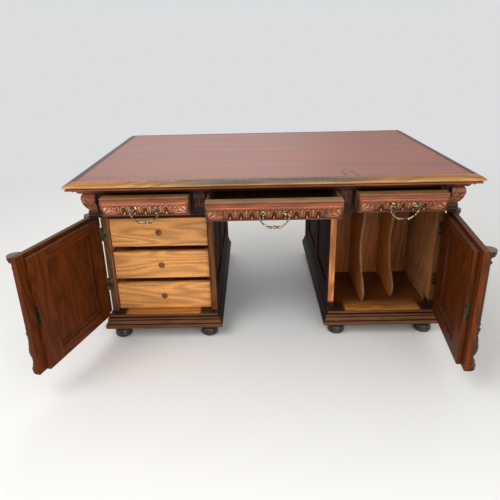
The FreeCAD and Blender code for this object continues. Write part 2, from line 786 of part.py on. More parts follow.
def build_inner_drawers():
    x0 = -BAY_OUT + INNER_SIDE_GAP
    x1 = -BAY_IN - INNER_SIDE_GAP
    face = -WALL_Y + INNER_SETBACK
    inner = face + INNER_FRONT_THICKNESS
    knob_steps = [
        (0, 0),
        (7, 0),
        (5, 3),
        (5, 5),
        (KNOB_RADIUS - 2, 5),
        (KNOB_RADIUS, 8, KNOB_RADIUS - 1.5, 11.5),
        dome(KNOB_RADIUS - 1.5, 11.5, KNOB_LENGTH),
    ]
    for number, (low, high) in zip((3, 2, 1), inner_levels()):
        front, box = drawer_box(
            block(x0, x1, face, inner, low, high), x0 + 3, x1 - 3, inner,
            INNER_FRONT_THICKNESS * TAIL_LAP, INNER_BOX_LENGTH, low + 4, high - 4,
        )
        knob = turned(knob_steps)
        knob.rotate(ORIGIN, V(1, 0, 0), 90.0)
        knob.translate(V((x0 + x1) / 2, face, (low + high) / 2))
        name = "inner_drawer_" + str(number)
        write(name, [front] + box)
        write(name + "_knob", [knob])


# ---------------------------------------------------------------- doors
def half_column(x):
    """A turned half column on the door's border: base, vase, shaft, necking and stepped cap."""
    low = DOOR_LOW
    high = DOOR_TOP
    shaft = COLUMN_RADIUS
    steps = [
        (0, low),
        (26, low),
        (26, low + 9),
        (24, low + 9),
        (27, low + 15, 24, low + 21),
        (19, low + 24, 20, low + 30),
        (22, low + 34, 20, low + 38),
        (15, low + 50, 15, low + 56),
        (25, low + 88, 22, low + 112),
        (19, low + 136, 13, low + 150),
        (17, low + 150),
        (19, low + 154, 17, low + 158),
        (14, low + 160),
        (22, low + 168, 20, low + 176),
        (16, low + 182),
        (16, low + 186),
        (shaft + 2, low + 190, shaft + 1, low + 195),
        (shaft, low + 195),
        (shaft - 2, high - 52),
        (shaft + 1, high - 52),
        (shaft + 3, high - 48, shaft + 1, high - 44),
        (shaft - 2, high - 44),
        (shaft - 1, high - 32, 25, high - 22),
        (27, high - 22),
        (27, high - 14),
        (COLUMN_CAP_RADIUS, high - 14),
        (COLUMN_CAP_RADIUS, high),
        (0, high),
    ]
    return turned(steps, x, -DOOR_FACE, 180.0, 180.0)


def notch_for_knuckles(piece):
    """Room round the hinge pins and for the leaves that are let into the door."""
    for level in HINGE_LEVELS:
        low = level - HINGE_HEIGHT / 2
        end = 2 * PIN_CAP + 1
        room = Part.makeCylinder(
            BARREL_RADIUS + 0.8, HINGE_HEIGHT + 2 * end, V(HINGE_X, -HINGE_Y, low - end)
        )
        seat = block(
            HINGE_X - LEAF_WIDTH - 4, HINGE_X, -DOOR_BACK - LEAF_THICKNESS, -DOOR_BACK + 1,
            low, low + HINGE_HEIGHT,
        )
        piece = piece.cut(room).cut(seat)
    return piece.Solids[0]


def door_pieces():
    """The right-hand front door, closed: frame, panel, columns, hinge leaves, lock and bolt."""
    face = -DOOR_FACE
    lip = -DOOR_BACK
    inner = -DOOR_INNER
    raised_in = BAY_IN + DOOR_FIT
    raised_out = BAY_OUT - DOOR_FIT
    raised_low = PLINTH_TOP + DOOR_FIT - 2
    raised_top = CEILING - DOOR_FIT + 2
    panel_in = raised_in + LOCK_STILE
    panel_out = raised_out - HINGE_STILE
    panel_low = raised_low + DOOR_RAIL
    panel_top = raised_top - DOOR_RAIL

    def member(x0, x1, z0, z1, rx0, rx1, rz0, rz1):
        slab = block(x0, x1, face, lip, z0, z1)
        raised = block(rx0, rx1, lip - 1, inner, rz0, rz1)
        return slab.fuse(raised).removeSplitter()

    hinge_stile = member(
        panel_out, DOOR_OUT, DOOR_LOW, DOOR_TOP, panel_out, raised_out, raised_low, raised_top
    )
    hinge_stile = notch_for_knuckles(hinge_stile)
    lock_stile = member(
        DOOR_IN, panel_in, DOOR_LOW, DOOR_TOP, raised_in, panel_in, raised_low, raised_top
    )
    top_rail = member(
        panel_in, panel_out, panel_top, DOOR_TOP, panel_in, panel_out, panel_top, raised_top
    )
    low_rail = member(
        panel_in, panel_out, DOOR_LOW, panel_low, panel_in, panel_out, raised_low, panel_low
    )
    lock_half = LOCK_HEIGHT / 2
    lock_case = block(
        raised_in + 2, raised_in + 42, inner - 12, inner - 2,
        LOCK_LEVEL - lock_half + 4, LOCK_LEVEL + lock_half - 4,
    )
    selvage = block(
        raised_in, raised_in + 2, inner - 15, inner, LOCK_LEVEL - lock_half, LOCK_LEVEL + lock_half
    )
    lock = lock_case.fuse(selvage)
    bolt_way = block(
        raised_in - 1, raised_in + 30, inner - 10.2, inner - 3.8, LOCK_LEVEL - 10.2, LOCK_LEVEL + 10.2
    )
    lock_stile = lock_stile.cut(lock).cut(bolt_way).Solids[0]
    lock = lock.cut(bolt_way).removeSplitter().Solids[0]
    bolt = block(
        raised_in + 0.6, raised_in + 28, inner - 10, inner - 4, LOCK_LEVEL - 10, LOCK_LEVEL + 10
    )

    panel_y = face + 8
    panel_back = panel_y + PANEL_THICKNESS
    tongue = PANEL_TONGUE
    panel = block(
        panel_in - tongue, panel_out + tongue, panel_y, panel_back,
        panel_low - tongue, panel_top + tongue,
    )
    members = [m.cut(panel).Solids[0] for m in (hinge_stile, lock_stile, top_rail, low_rail)]
    field = panel_field(panel_in, panel_out, panel_y, panel_low, panel_top)
    panel = panel.fuse(field).removeSplitter()
    beads = panel_beads(panel_in, panel_out, panel_back, panel_low, panel_top)

    leaves = []
    for level in HINGE_LEVELS:
        knuckle = HINGE_HEIGHT * 0.36
        leaf = block(
            HINGE_X - LEAF_WIDTH - 4, HINGE_X, lip - LEAF_THICKNESS, lip,
            level - HINGE_HEIGHT / 2 + 0.5, level + HINGE_HEIGHT / 2 - 0.5,
        )
        clear = BARREL_RADIUS + 0.4
        for low in (level - HINGE_HEIGHT / 2, level + knuckle / 2):
            gap = Part.makeCylinder(
                clear, (HINGE_HEIGHT - knuckle) / 2 + 0.4, V(HINGE_X, -HINGE_Y, low - 0.2)
            )
            leaf = leaf.cut(gap)
        barrel = Part.makeCylinder(
            BARREL_RADIUS, knuckle - 0.8, V(HINGE_X, -HINGE_Y, level - knuckle / 2 + 0.4)
        )
        hole = Part.makeCylinder(
            PIN_RADIUS + PIN_CLEARANCE, HINGE_HEIGHT, V(HINGE_X, -HINGE_Y, level - HINGE_HEIGHT / 2)
        )
        leaves.append(leaf.fuse(barrel).cut(hole).removeSplitter().Solids[0])
    return {
        "frame": members + beads,
        "panel": [panel],
        "columns": [half_column(DOOR_OUT - COLUMN_INSET), half_column(DOOR_IN + COLUMN_INSET)],
        "hinge_leaves": leaves,
        "lock": [lock],
        "bolt": [bolt],
    }


def panel_beads(x0, x1, y, z0, z1):
    """Four mitred mouldings that hold a door panel from inside, on its back face at y."""
    section = [
        (0, 0),
        (-15, 0),
        (-13, 2.5, -11, 1),
        (-11, 4),
        (-8, 9, -3, 10),
        (-3, 13),
        (0, 13),
    ]
    beads = moulding_ring(section, (x1 - x0) / 2, (z1 - z0) / 2)
    for bead in beads:
        bead.rotate(ORIGIN, V(1, 0, 0), -90.0)
        bead.translate(V((x0 + x1) / 2, y, (z0 + z1) / 2))
    return beads


def panel_field(x0, x1, y, z0, z1):
    """The raised field on the show face of a door panel."""
    margin = 22.0
    bevel = 16.0
    rise = 6.0

    def loop(inset, depth):
        corners = [(x0 + inset, z0 + inset), (x1 - inset, z0 + inset)]
        corners += [(x1 - inset, z1 - inset), (x0 + inset, z1 - inset)]
        points = [V(px, depth, pz) for px, pz in corners]
        return Part.makePolygon(points + points[:1])

    return Part.makeLoft([loop(margin, y), loop(margin + bevel, y - rise)], True)


def fixed_leaves():
    """The fixed hinge leaves of the right-hand front door, with their outer knuckles and pins."""
    solids = []
    for level in HINGE_LEVELS:
        half = HINGE_HEIGHT / 2
        knuckle = HINGE_HEIGHT * 0.36
        leaf = block(
            HINGE_X - LEAF_WIDTH - 4, HINGE_X, -WALL_Y, -WALL_Y + LEAF_THICKNESS,
            level - half + 0.5, level + half - 0.5,
        )
        gap = Part.makeCylinder(BARREL_RADIUS + 0.4, knuckle, V(HINGE_X, -HINGE_Y, level - knuckle / 2))
        leaf = leaf.cut(gap)
        pin = Part.makeCylinder(PIN_RADIUS, HINGE_HEIGHT + 4, V(HINGE_X, -HINGE_Y, level - half - 2))
        length = (HINGE_HEIGHT - knuckle) / 2
        barrels = [
            Part.makeCylinder(BARREL_RADIUS, length, V(HINGE_X, -HINGE_Y, low))
            for low in (level - half, level + half - length)
        ]
        caps = [
            Part.makeSphere(PIN_CAP, V(HINGE_X, -HINGE_Y, end))
            for end in (level - half - 2, level + half + 2)
        ]
        solids += leaf.fuse([pin] + barrels + caps).removeSplitter().Solids
    return solids


def opened_door(solids, angle):
    pivot = V(HINGE_X, -HINGE_Y, 0)
    swung = []
    for solid in solids:
        copy = solid.copy()
        copy.rotate(pivot, UP, angle)
        swung.append(copy)
    return swung


def build_doors():
    door = door_pieces()
    for node, solids in door.items():
        write("right_door_" + node, opened_door(solids, RIGHT_DOOR_OPEN))
        swung = opened_door(solids, LEFT_DOOR_OPEN)
        write("left_door_" + node, [mirrored_x(s) for s in swung])
    back_nodes = {
        "": door["frame"] + door["panel"],
        "_columns": door["columns"],
        "_hinge_leaves": door["hinge_leaves"],
    }
    for node, solids in back_nodes.items():
        write("back_left_door" + node, [to_back(s) for s in solids])
        write("back_right_door" + node, [to_back(mirrored_x(s)) for s in solids])
    leaves = both_hands(fixed_leaves())
    write("fixed_hinge_leaves", leaves + [to_back(s) for s in leaves])


build_top()
build_frieze()
build_blocks()
build_pedestals()
build_plinths()
build_dividers()
build_frieze_drawers()
build_inner_drawers()
build_doors()
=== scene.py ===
"""Finishes for a carved oak partners desk, laid out as a Blender add-on.

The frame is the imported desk: its nodes keep their shape and place. Each operator below makes
one piece, or one group of like pieces, of what a joiner, carver, turner or leather worker adds.
Lengths are in mm, except where Blender or the frame takes metres and the code says MM.
"""

import cmath
import json
import math
import random
from functools import partial

import bmesh
import bpy
from bpy.props import FloatProperty, FloatVectorProperty, IntProperty
from mathutils import Matrix, Vector, noise


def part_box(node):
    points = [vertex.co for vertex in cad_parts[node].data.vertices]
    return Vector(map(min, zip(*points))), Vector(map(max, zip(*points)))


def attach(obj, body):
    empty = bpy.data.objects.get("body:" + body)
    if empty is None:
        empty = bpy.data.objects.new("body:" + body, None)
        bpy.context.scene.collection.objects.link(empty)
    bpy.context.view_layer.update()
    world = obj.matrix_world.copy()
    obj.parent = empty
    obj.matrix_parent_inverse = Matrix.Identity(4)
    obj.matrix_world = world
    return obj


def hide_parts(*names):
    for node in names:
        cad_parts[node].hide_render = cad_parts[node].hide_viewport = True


bl_info = {
    "name": "Partners desk finishes",
    "version": (1, 0, 0),
    "blender": (4, 5, 0),
    "location": "3D View > Sidebar > Desk",
    "description": "Carving, leather, wood and metal finishes for a carved oak partners desk",
    "category": "Object",
}

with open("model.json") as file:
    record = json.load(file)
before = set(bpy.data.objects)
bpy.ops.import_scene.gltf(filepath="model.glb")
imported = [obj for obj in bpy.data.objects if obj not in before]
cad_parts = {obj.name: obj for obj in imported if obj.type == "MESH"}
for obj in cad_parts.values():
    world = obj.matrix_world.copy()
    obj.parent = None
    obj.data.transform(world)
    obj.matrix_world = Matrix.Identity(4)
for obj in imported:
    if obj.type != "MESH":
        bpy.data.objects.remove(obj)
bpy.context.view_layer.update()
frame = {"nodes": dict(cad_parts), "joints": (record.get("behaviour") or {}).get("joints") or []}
MM = 0.001


def linear(hex_colour):
    """An sRGB hex colour as linear red, green, blue and alpha."""
    channels = [int(hex_colour[i:i + 2], 16) / 255 for i in (1, 3, 5)]
    curve = [c / 12.92 if c <= 0.04045 else ((c + 0.055) / 1.055) ** 2.4 for c in channels]
    return (*curve, 1.0)


def colour_setting(name, description, hex_colour):
    return FloatVectorProperty(
        name=name, description=description, subtype="COLOR", size=4, min=0.0, max=1.0,
        default=linear(hex_colour),
    )


def length_setting(name, description, length):
    return FloatProperty(name=name, description=description, default=length * MM, unit="LENGTH")


# ---- sizes and colours
class DeskSizes(bpy.types.PropertyGroup):
    flute_pitch: length_setting("Flute pitch", "Spacing of the flutes in the carved frieze", 43)
    flute_width: length_setting("Flute width", "Width of one flute at its mouth", 21)
    nail_spacing: length_setting("Nail spacing", "Spacing of the nails round the leather", 27)
    nail_head: length_setting("Nail head", "Diameter of a leather nail's head", 7)
    tooth_pitch: length_setting("Tooth pitch", "Spacing of the teeth under the top", 16)
    nail_seed: IntProperty(
        name="Nail seed", description="Start of the random draws for the nails' places", default=7
    )


class DeskColours(bpy.types.PropertyGroup):
    leather: colour_setting("Leather", "Burgundy hide, faded by light", "#905748")
    golden_oak: colour_setting("Golden oak", "Edge moulding of the top", "#9e6f40")
    stained_oak: colour_setting("Stained oak", "Carved show wood", "#9c5636")
    raw_oak: colour_setting("Raw oak", "Inner drawer fronts, oiled only", "#c98a49")
    aged_oak: colour_setting("Aged oak", "Drawer boxes and edges darkened by use", "#905c36")
    cupboard_oak: colour_setting("Cupboard oak", "Floors and walls of the cupboards", "#884d1e")
    dark_oak: colour_setting("Dark oak", "Doors and sides under old polish", "#58290c")
    brass: colour_setting("Brass", "Handles, polished by hands", "#c2b084")


# ---- material nodes
def feed(node, inputs):
    """Give a node's inputs their values, or link them to sockets or to other nodes."""
    for name, value in inputs.items():
        if isinstance(value, bpy.types.Node):
            value = next(output for output in value.outputs if output.enabled)
        if isinstance(value, bpy.types.NodeSocket):
            node.id_data.links.new(value, node.inputs[name])
        else:
            node.inputs[name].default_value = value


def add_node(tree, kind, inputs=None, stops=(), **settings):
    """Add one node with its settings, its inputs and a ramp's stops."""
    node = tree.nodes.new("ShaderNode" + kind)
    for name, value in settings.items():
        setattr(node, name, value)
    feed(node, inputs or {})
    for index, (position, colour) in enumerate(stops):
        places = node.color_ramp.elements
        stop = places[index] if index < 2 else places.new(1.0)
        stop.position, stop.color = position, colour
    return node


def new_material(name):
    """A new material, its shader, and add_node for its tree."""
    material = bpy.data.materials.new(name)
    material.use_nodes = True
    tree = material.node_tree
    return material, tree.nodes["Principled BSDF"], partial(add_node, tree)


def grey(value):
    return (value, value, value, 1.0)


def shade_of(colour, factor):
    """The same colour, lighter or darker."""
    return (*[min(1.0, c * factor) for c in colour[:3]], 1.0)


def wood_colours(base, contrast):
    """Ramp stops for late wood, early wood and the bright rays between them."""
    dark = shade_of(base, 1.0 - 0.5 * contrast)
    light = shade_of(base, 1.0 + 0.45 * contrast)
    return (0.3, dark), (0.68, light), (0.48, tuple(base))


# wood runs across these turns where a mitred or tenoned length crosses the main grain
CROSS_TURNS = {
    ("x", "y"): (0.0, 0.0, math.pi / 2),
    ("z", "x"): (0.0, math.pi / 2, 0.0),
    ("z", "y"): (math.pi / 2, 0.0, 0.0),
}
CARVE_DEPTH = 8.0             # deepest cut of the carver


def oak(
    name, base, grain="x", turn=0.0, figure=1.0, contrast=1.0, rough=0.45, shine=0.4,
    dust=0.0, grime_and_shade=0.0, mitres=None, rails=None, flats=False, zones=(), rubbed=None,
):
    """Oak under oil, stain or wax: long streaks, growth rings and short dark pores.

    grain is the axis that the fibres follow, and turn swings it about the vertical on an open
    door. figure packs the growth rings closer, and contrast parts their colours further. rough is
    the roughness of the polish, and shine is the strength of what it mirrors.

    mitres is (centre x, half x, half y) of a mitred frame, whose ends run along Y. rails is
    (axis, start, end, low, high): between start and end, what lies past those levels runs along
    that axis. With flats, lying boards among upright ones run along X. zones are (colour,
    (measure, none, full), ...): another colour, for stain and for painted light and shade, which
    grows from none to full along each measure. A measure is a place "x", a face's way "nx",
    either without its sign, "|x|", or "ends" for the turned lengths. rubbed is the colour of
    carved ridges, on a piece whose points carry the depth of their carving: ridges take it as wear
    and as a painted highlight, and cuts are painted darker with their depth as painted shade. dust
    greys what faces up, and grime darkens hollows by ambient occlusion, as painted shade and dirt."""
    material, shader, add = new_material(name)
    place = add("TexCoord").outputs["Object"]
    level = add("Mapping", {
        "Vector": place, "Rotation": (0.0, 0.0, -turn), "Scale": [1.0 / MM] * 3,
    })
    apart = add("SeparateXYZ", {"Vector": level}).outputs
    facing = add("SeparateXYZ", {"Vector": add("NewGeometry").outputs["Normal"]}).outputs

    across = None
    if mitres:
        centre, half_x, half_y = mitres
        past_y = add("Math", {0: apart["Y"]}, operation="ABSOLUTE")
        across = apart["X"]
        for operation, other in (
            ("ABSOLUTE", 0.0), ("SUBTRACT", centre), ("ABSOLUTE", 0.0), ("SUBTRACT", past_y),
            ("GREATER_THAN", half_x - half_y),
        ):
            across = add("Math", {0: across, 1: other}, operation=operation)
        cross_turn = CROSS_TURNS[grain, "y"]
    if rails:
        axis, start, end, low, high = rails
        between, field = [
            add(
                "Math", {0: apart[way], 1: (first + last) / 2, 2: (last - first) / 2},
                operation="COMPARE",
            )
            for way, first, last in ((axis.upper(), start, end), ("Z", low, high))
        ]
        across = add("Math", {0: between, 1: field}, operation="GREATER_THAN")
        cross_turn = CROSS_TURNS[grain, axis]
    if flats:
        across = add("Math", {0: facing["Z"]}, operation="ABSOLUTE")
        across = add("Math", {0: across, 1: 0.5}, operation="GREATER_THAN")
        cross_turn = CROSS_TURNS[grain, "x"]
    if across:
        crossed = add("Mapping", {"Vector": level, "Rotation": cross_turn})
        level = add("Mix", {"Factor": across, "A": level, "B": crossed}, data_type="VECTOR")

    # noise drawn out along the grain: heart wood, streaks, clouds of colour, and pores, whose
    # real width of 0.3 mm is drawn as 1.2 mm so that they show
    noises = []
    for length, width, detail, roughness in (
        (700, 110, 2.0, 0.4), (260, 9, 5.0, 0.65), (420, 160, 2.0, 0.5), (26, 1.2, 2.0, 0.6),
    ):
        scale = [1.0 / (length if axis == grain else width) for axis in "xyz"]
        noises.append(add("TexNoise", {
            "Vector": add("Mapping", {"Vector": level, "Scale": scale}),
            "Scale": 1.0, "Detail": detail, "Roughness": roughness,
        }))
    heart, streak, cloud, pores = noises
    # growth rings show as long nested curves about 9 mm apart
    rings = add("Math", {0: heart, 1: 70.0 * figure}, operation="MULTIPLY")
    rings = add("Math", {0: rings}, operation="SINE")
    rings = add("MapRange", {"Value": rings, "From Min": -1.0})
    blend = streak
    for other in (rings, cloud):
        blend = add("Mix", {"Factor": 0.35, "A": blend, "B": other}, data_type="FLOAT")

    colour = add("ValToRGB", {"Fac": blend}, wood_colours(base, contrast))
    for stain, *measures in zones:
        share = 1.0
        for measure, none, full in measures:
            value = across
            if measure != "ends":
                value = (facing if "n" in measure else apart)[measure.strip("n|").upper()]
            if "|" in measure:
                value = add("Math", {0: value}, operation="ABSOLUTE")
            inside = add("MapRange", {"Value": value, "From Min": none, "From Max": full})
            share = add("Math", {0: share, 1: inside}, operation="MULTIPLY")
        stained = add("ValToRGB", {"Fac": blend}, wood_colours(stain, contrast))
        colour = add("Mix", {"Factor": share, "A": colour, "B": stained}, data_type="RGBA")

    pore_mask = add("ValToRGB", {"Fac": pores}, [(0.36, grey(0.55)), (0.46, grey(1.0))])
    layers = [("MULTIPLY", 0.8, pore_mask)]
    if rubbed:
        # the cuts are painted darker by depth, as painted shade with old wax and dust in them, and
        # the ridges lighter, as a painted highlight and the wear of hands
        depth = add("Attribute", attribute_name="carving").outputs["Fac"]
        shadow = add("MapRange", {"Value": depth, "From Min": -CARVE_DEPTH, "From Max": 0.0})
        shadow = add(
            "ValToRGB", {"Fac": shadow}, [(0.0, grey(0.2)), (1.0, grey(1.0)), (0.75, grey(0.3))]
        )
        ridge = add("MapRange", {
            "Value": depth, "From Min": 0.3, "From Max": 2.0, "To Max": 0.85,
        })
        layers += [("MULTIPLY", 1.0, shadow), ("MIX", ridge, tuple(rubbed))]
    if grime_and_shade:
        # painted shade: ambient occlusion darkens the hollows, and stands also for grime
        hollow = add("AmbientOcclusion", {"Distance": 12 * MM}, samples=6, only_local=True)
        hollow_shade = add(
            "ValToRGB", {"Fac": hollow.outputs["AO"]},
            [(0.3, grey(1.0 - grime_and_shade)), (0.85, grey(1.0))],
        )
        layers.append(("MULTIPLY", 1.0, hollow_shade))
    if dust:
        # a metre holds about 28 patches of it
        patch = add("TexNoise", {"Vector": place, "Scale": 28.0, "Detail": 3.0})
        cover = add("Math", {0: facing["Z"], 1: patch}, operation="MULTIPLY")
        cover = add("MapRange", {
            "Value": cover, "From Min": 0.2, "From Max": 0.5, "To Max": dust,
        })
        layers.append(("MIX", cover, linear("#8c7a6a")))
    for way, share, layer in layers:
        colour = add(
            "Mix", {"Factor": share, "A": colour, "B": layer}, data_type="RGBA", blend_type=way
        )
    feed(shader, {
        "Base Color": colour,
        "Roughness": add("MapRange", {
            "Value": streak, "To Min": rough - 0.1, "To Max": rough + 0.15,
        }),
        "Normal": add("Bump", {"Height": pores, "Strength": 0.25, "Distance": 0.3 * MM}),
        "IOR": 1.5,
        "Specular IOR Level": shine,
    })
    return material


def aged_metal(name, bright, tarnish, low, high, patch_size, rough):
    """Metal whose rubbed places stay bright, between ramp places low and high of a patch noise."""
    material, shader, add = new_material(name)
    patch = add("TexNoise", {
        "Vector": add("TexCoord").outputs["Object"], "Scale": 1.0 / (patch_size * MM),
        "Detail": 5.0, "Roughness": 0.6,
    })
    feed(shader, {
        "Base Color": add("ValToRGB", {"Fac": patch}, [(low, tarnish), (high, tuple(bright))]),
        "Roughness": add("MapRange", {
            "Value": patch, "To Min": rough + 0.2, "To Max": rough - 0.1,
        }),
        "Normal": add("Bump", {"Height": patch, "Strength": 0.2, "Distance": 0.4 * MM}),
        "Metallic": 1.0,
    })
    return material


def hide(name, base, half_x, half_y, scratches):
    """Dyed cowhide with a pebbled grain, faded in long streaks, darker at its nailed rim.

    scratches are (x, y, x, y)."""
    material, shader, add = new_material(name)
    place = add("TexCoord").outputs["Object"]
    # streaks of fading are 900 mm long and 45 mm wide, and a metre holds about 7 blotches
    long_way = add("Mapping", {"Vector": place, "Scale": (1 / (900 * MM), 1 / (45 * MM), 1.0)})
    streak = add("TexNoise", {
        "Vector": long_way, "Scale": 1.0, "Detail": 4.0, "Roughness": 0.55,
    })
    blotch = add("TexNoise", {"Vector": place, "Scale": 7.0, "Detail": 5.0})
    blend = add("Mix", {"Factor": 0.4, "A": streak, "B": blotch}, data_type="FLOAT")
    colour = add(
        "ValToRGB", {"Fac": blend},
        [(0.35, shade_of(base, 0.8)), (0.64, shade_of(base, 1.2)), (0.47, tuple(base))],
    )

    # the rim is dark to a wavering line 8 to 30 mm from the edge
    apart = add("SeparateXYZ", {"Vector": place}).outputs
    margins = []
    for axis, half in (("X", half_x), ("Y", half_y)):
        reach = add("Math", {0: apart[axis]}, operation="ABSOLUTE")
        margins.append(add("Math", {0: half * MM, 1: reach}, operation="SUBTRACT"))
    from_rim = add("Math", dict(enumerate(margins)), operation="MINIMUM")
    wavy = add("Math", {0: blotch, 1: 20 * MM, 2: from_rim}, operation="MULTIPLY_ADD")
    rim = add("MapRange", {
        "Value": wavy, "From Min": 8 * MM, "From Max": 30 * MM, "To Min": 0.5, "To Max": 0.0,
    })
    layers = [(rim, shade_of(base, 0.6))]
    scratch_half = 3 * MM
    waver = 12 * MM
    for x0, y0, x1, y1 in scratches:
        half = math.hypot(x1 - x0, y1 - y0) * MM / 2
        tilt = math.atan2(y1 - y0, x1 - x0)
        lined = add("Mapping", {"Vector": place, "Location": (-x0 * MM, -y0 * MM, 0.0)})
        lined = add("Mapping", {"Vector": lined, "Rotation": (0.0, 0.0, -tilt)})
        lined = add("SeparateXYZ", {"Vector": lined}).outputs
        beside = add("Math", {0: blotch, 1: waver, 2: lined["Y"]}, operation="MULTIPLY_ADD")
        beside = add("Math", {0: beside, 1: waver / 2, 2: scratch_half}, operation="COMPARE")
        within = add("Math", {0: lined["X"], 1: half, 2: half}, operation="COMPARE")
        mark = add("Math", {0: beside, 1: within}, operation="MULTIPLY")
        layers.append((mark, shade_of(base, 0.04)))
    for share, layer in layers:
        colour = add("Mix", {"Factor": share, "A": colour, "B": layer}, data_type="RGBA")

    # hide grain is about 1 mm; it is drawn at 2.4 mm so that it shows
    pebble = add("TexVoronoi", {"Vector": place, "Scale": 1 / (2.4 * MM)}, feature="SMOOTH_F1")
    feed(shader, {
        "Base Color": colour,
        "Roughness": add("MapRange", {"Value": blotch, "To Min": 0.42, "To Max": 0.6}),
        "Normal": add("Bump", {
            "Height": pebble.outputs["Distance"], "Strength": 0.3, "Distance": 0.4 * MM,
        }),
        "IOR": 1.5,
    })
    return material


# ---- modelling helpers
def select_only(*pieces):
    bpy.ops.object.select_all(action="DESELECT")
    for piece in pieces:
        piece.select_set(True)
    bpy.context.view_layer.objects.active = pieces[0]


def edit(piece, action="DESELECT"):
    """Open a piece in edit mode with nothing selected, or with all of it."""
    select_only(piece)
    bpy.ops.object.mode_set(mode="EDIT")
    bpy.ops.mesh.select_mode(type="VERT")
    bpy.ops.mesh.select_all(action=action)


def pick_points(piece, test):
    """Select the vertices whose place passes the test."""
    mesh = bmesh.from_edit_mesh(piece.data)
    for point in mesh.verts:
        point.select = test(point.co)
    mesh.select_flush(True)
    bmesh.update_edit_mesh(piece.data)


def done(outward=False):
    """Leave edit mode, with every face turned outwards if asked."""
    if outward:
        bpy.ops.mesh.select_all(action="SELECT")
        bpy.ops.mesh.normals_make_consistent(inside=False)
    bpy.ops.object.mode_set(mode="OBJECT")


def primitive(kind, name, **settings):
    """A named primitive whose place and size are in its mesh, in metres."""
    bpy.ops.object.select_all(action="DESELECT")
    getattr(bpy.ops.mesh, "primitive_" + kind + "_add")(**settings)
    piece = bpy.context.object
    piece.name = name
    bpy.ops.object.transform_apply(location=True, rotation=True, scale=True)
    return piece


def smooth(piece, angle=35.0):
    select_only(piece)
    bpy.ops.object.shade_smooth_by_angle(angle=math.radians(angle))
    return piece


def shift(x, y, z):
    return Matrix.Translation(Vector((x, y, z)) * MM)


def move_mesh(piece, matrix):
    piece.data.transform(matrix)
    if matrix.determinant() < 0:
        piece.data.flip_normals()
    return piece


def copy_of(piece, name, matrix):
    """A second piece with its own mesh, moved."""
    twin = bpy.data.objects.new(name, piece.data.copy())
    bpy.context.scene.collection.objects.link(twin)
    return move_mesh(twin, matrix)


def join(name, pieces):
    select_only(*pieces)
    bpy.ops.object.join()
    whole = bpy.context.object
    whole.name = name
    whole.data.name = name
    return whole


def place_on(piece, body, slot, material, *nodes):
    """Finish a piece, say what it rides on and which nodes it stands for."""
    piece.data.materials.clear()
    piece.data.materials.append(material)
    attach(piece, body)
    if nodes:
        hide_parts(*nodes)


def board(name, low, high):
    """A planed board between two corners, its arrises eased."""
    low, high = Vector(low) * MM, Vector(high) * MM
    piece = primitive("cube", name, size=1, location=(low + high) / 2, scale=high - low)
    select_only(piece)
    arris = piece.modifiers.new("arris", "BEVEL")
    arris.width, arris.segments, arris.limit_method = 1.5 * MM, 2, "ANGLE"
    bpy.ops.object.modifier_apply(modifier=arris.name)
    return smooth(piece)


def arc_through(start, through, end, step):
    """Points after start along the circle through three points, about one step apart."""
    start, through, end = [complex(*point) for point in (start, through, end)]
    ratio = (end - start) / (through - start)
    centre = start + (through - start) * (ratio - abs(ratio) ** 2) / (2j * ratio.imag)
    radius = abs(start - centre)
    first, middle, last = [cmath.phase(point - centre) for point in (start, through, end)]
    sweep = (last - first) % (2 * math.pi)
    if (middle - first) % (2 * math.pi) > sweep:
        sweep -= 2 * math.pi
    count = max(3, round(abs(sweep) * radius / step))
    arc = [centre + cmath.rect(radius, first + sweep * i / count) for i in range(1, count + 1)]
    return [(point.real, point.imag) for point in arc]


def section_points(steps, step):
    """A moulding's section, from (out, level) runs and (out, level, out, level) arcs."""
    points = [steps[0]]
    for run in steps[1:]:
        here = points[-1]
        if len(run) == 4:
            points += arc_through(here, run[:2], run[2:], step)
            continue
        shows = run[0] > 0 and here[0] > 0
        count = max(1, round(math.dist(here, run) / step)) if shows else 1
        points += [
            tuple(a + (b - a) * i / count for a, b in zip(here, run)) for i in range(1, count + 1)
        ]
    return points


def carved_bar(name, steps, start, end, relief, mitres=(0, 0), fine=1.7):
    """A moulding along X that faces -Y, its face carved by relief(x, level).

    steps give the section, its root at y = 0 and its foot at z = 0. A mitre of 1 lets that end
    grow with the section's projection, as at an outside corner. fine is the size of its faces."""
    section = section_points(steps, fine)
    rows = len(section)
    columns = max(2, round((end - start) / fine))
    piece = primitive("grid", name, x_subdivisions=columns, y_subdivisions=rows, size=1)
    normals = [
        Vector((after[1] - before[1], before[0] - after[0])).normalized()
        for before, after in zip(section[-1:] + section, section[1:] + section[:1])
    ]
    carving = piece.data.attributes.new("carving", "FLOAT", "POINT")
    for point in piece.data.vertices:
        column = round((point.co.x + 0.5) * columns) / columns
        row = round((point.co.y + 0.5) * rows)
        out, level = section[row % rows]
        first = start - mitres[0] * out
        last = end + mitres[1] * out
        x = first + (last - first) * column
        height = relief(x, level) if out > 0 and 0 < row < rows else 0.0
        normal = normals[row % rows]
        point.co = Vector((x, -out - normal[0] * height, level + normal[1] * height)) * MM
        carving.data[point.index].value = height
    edit(piece, "SELECT")
    bpy.ops.mesh.remove_doubles(threshold=0.01 * MM)
    bpy.ops.mesh.select_all(action="DESELECT")
    bpy.ops.mesh.select_non_manifold()
    bpy.ops.mesh.fill_holes(sides=0)
    done(outward=True)
    return smooth(piece, 50)


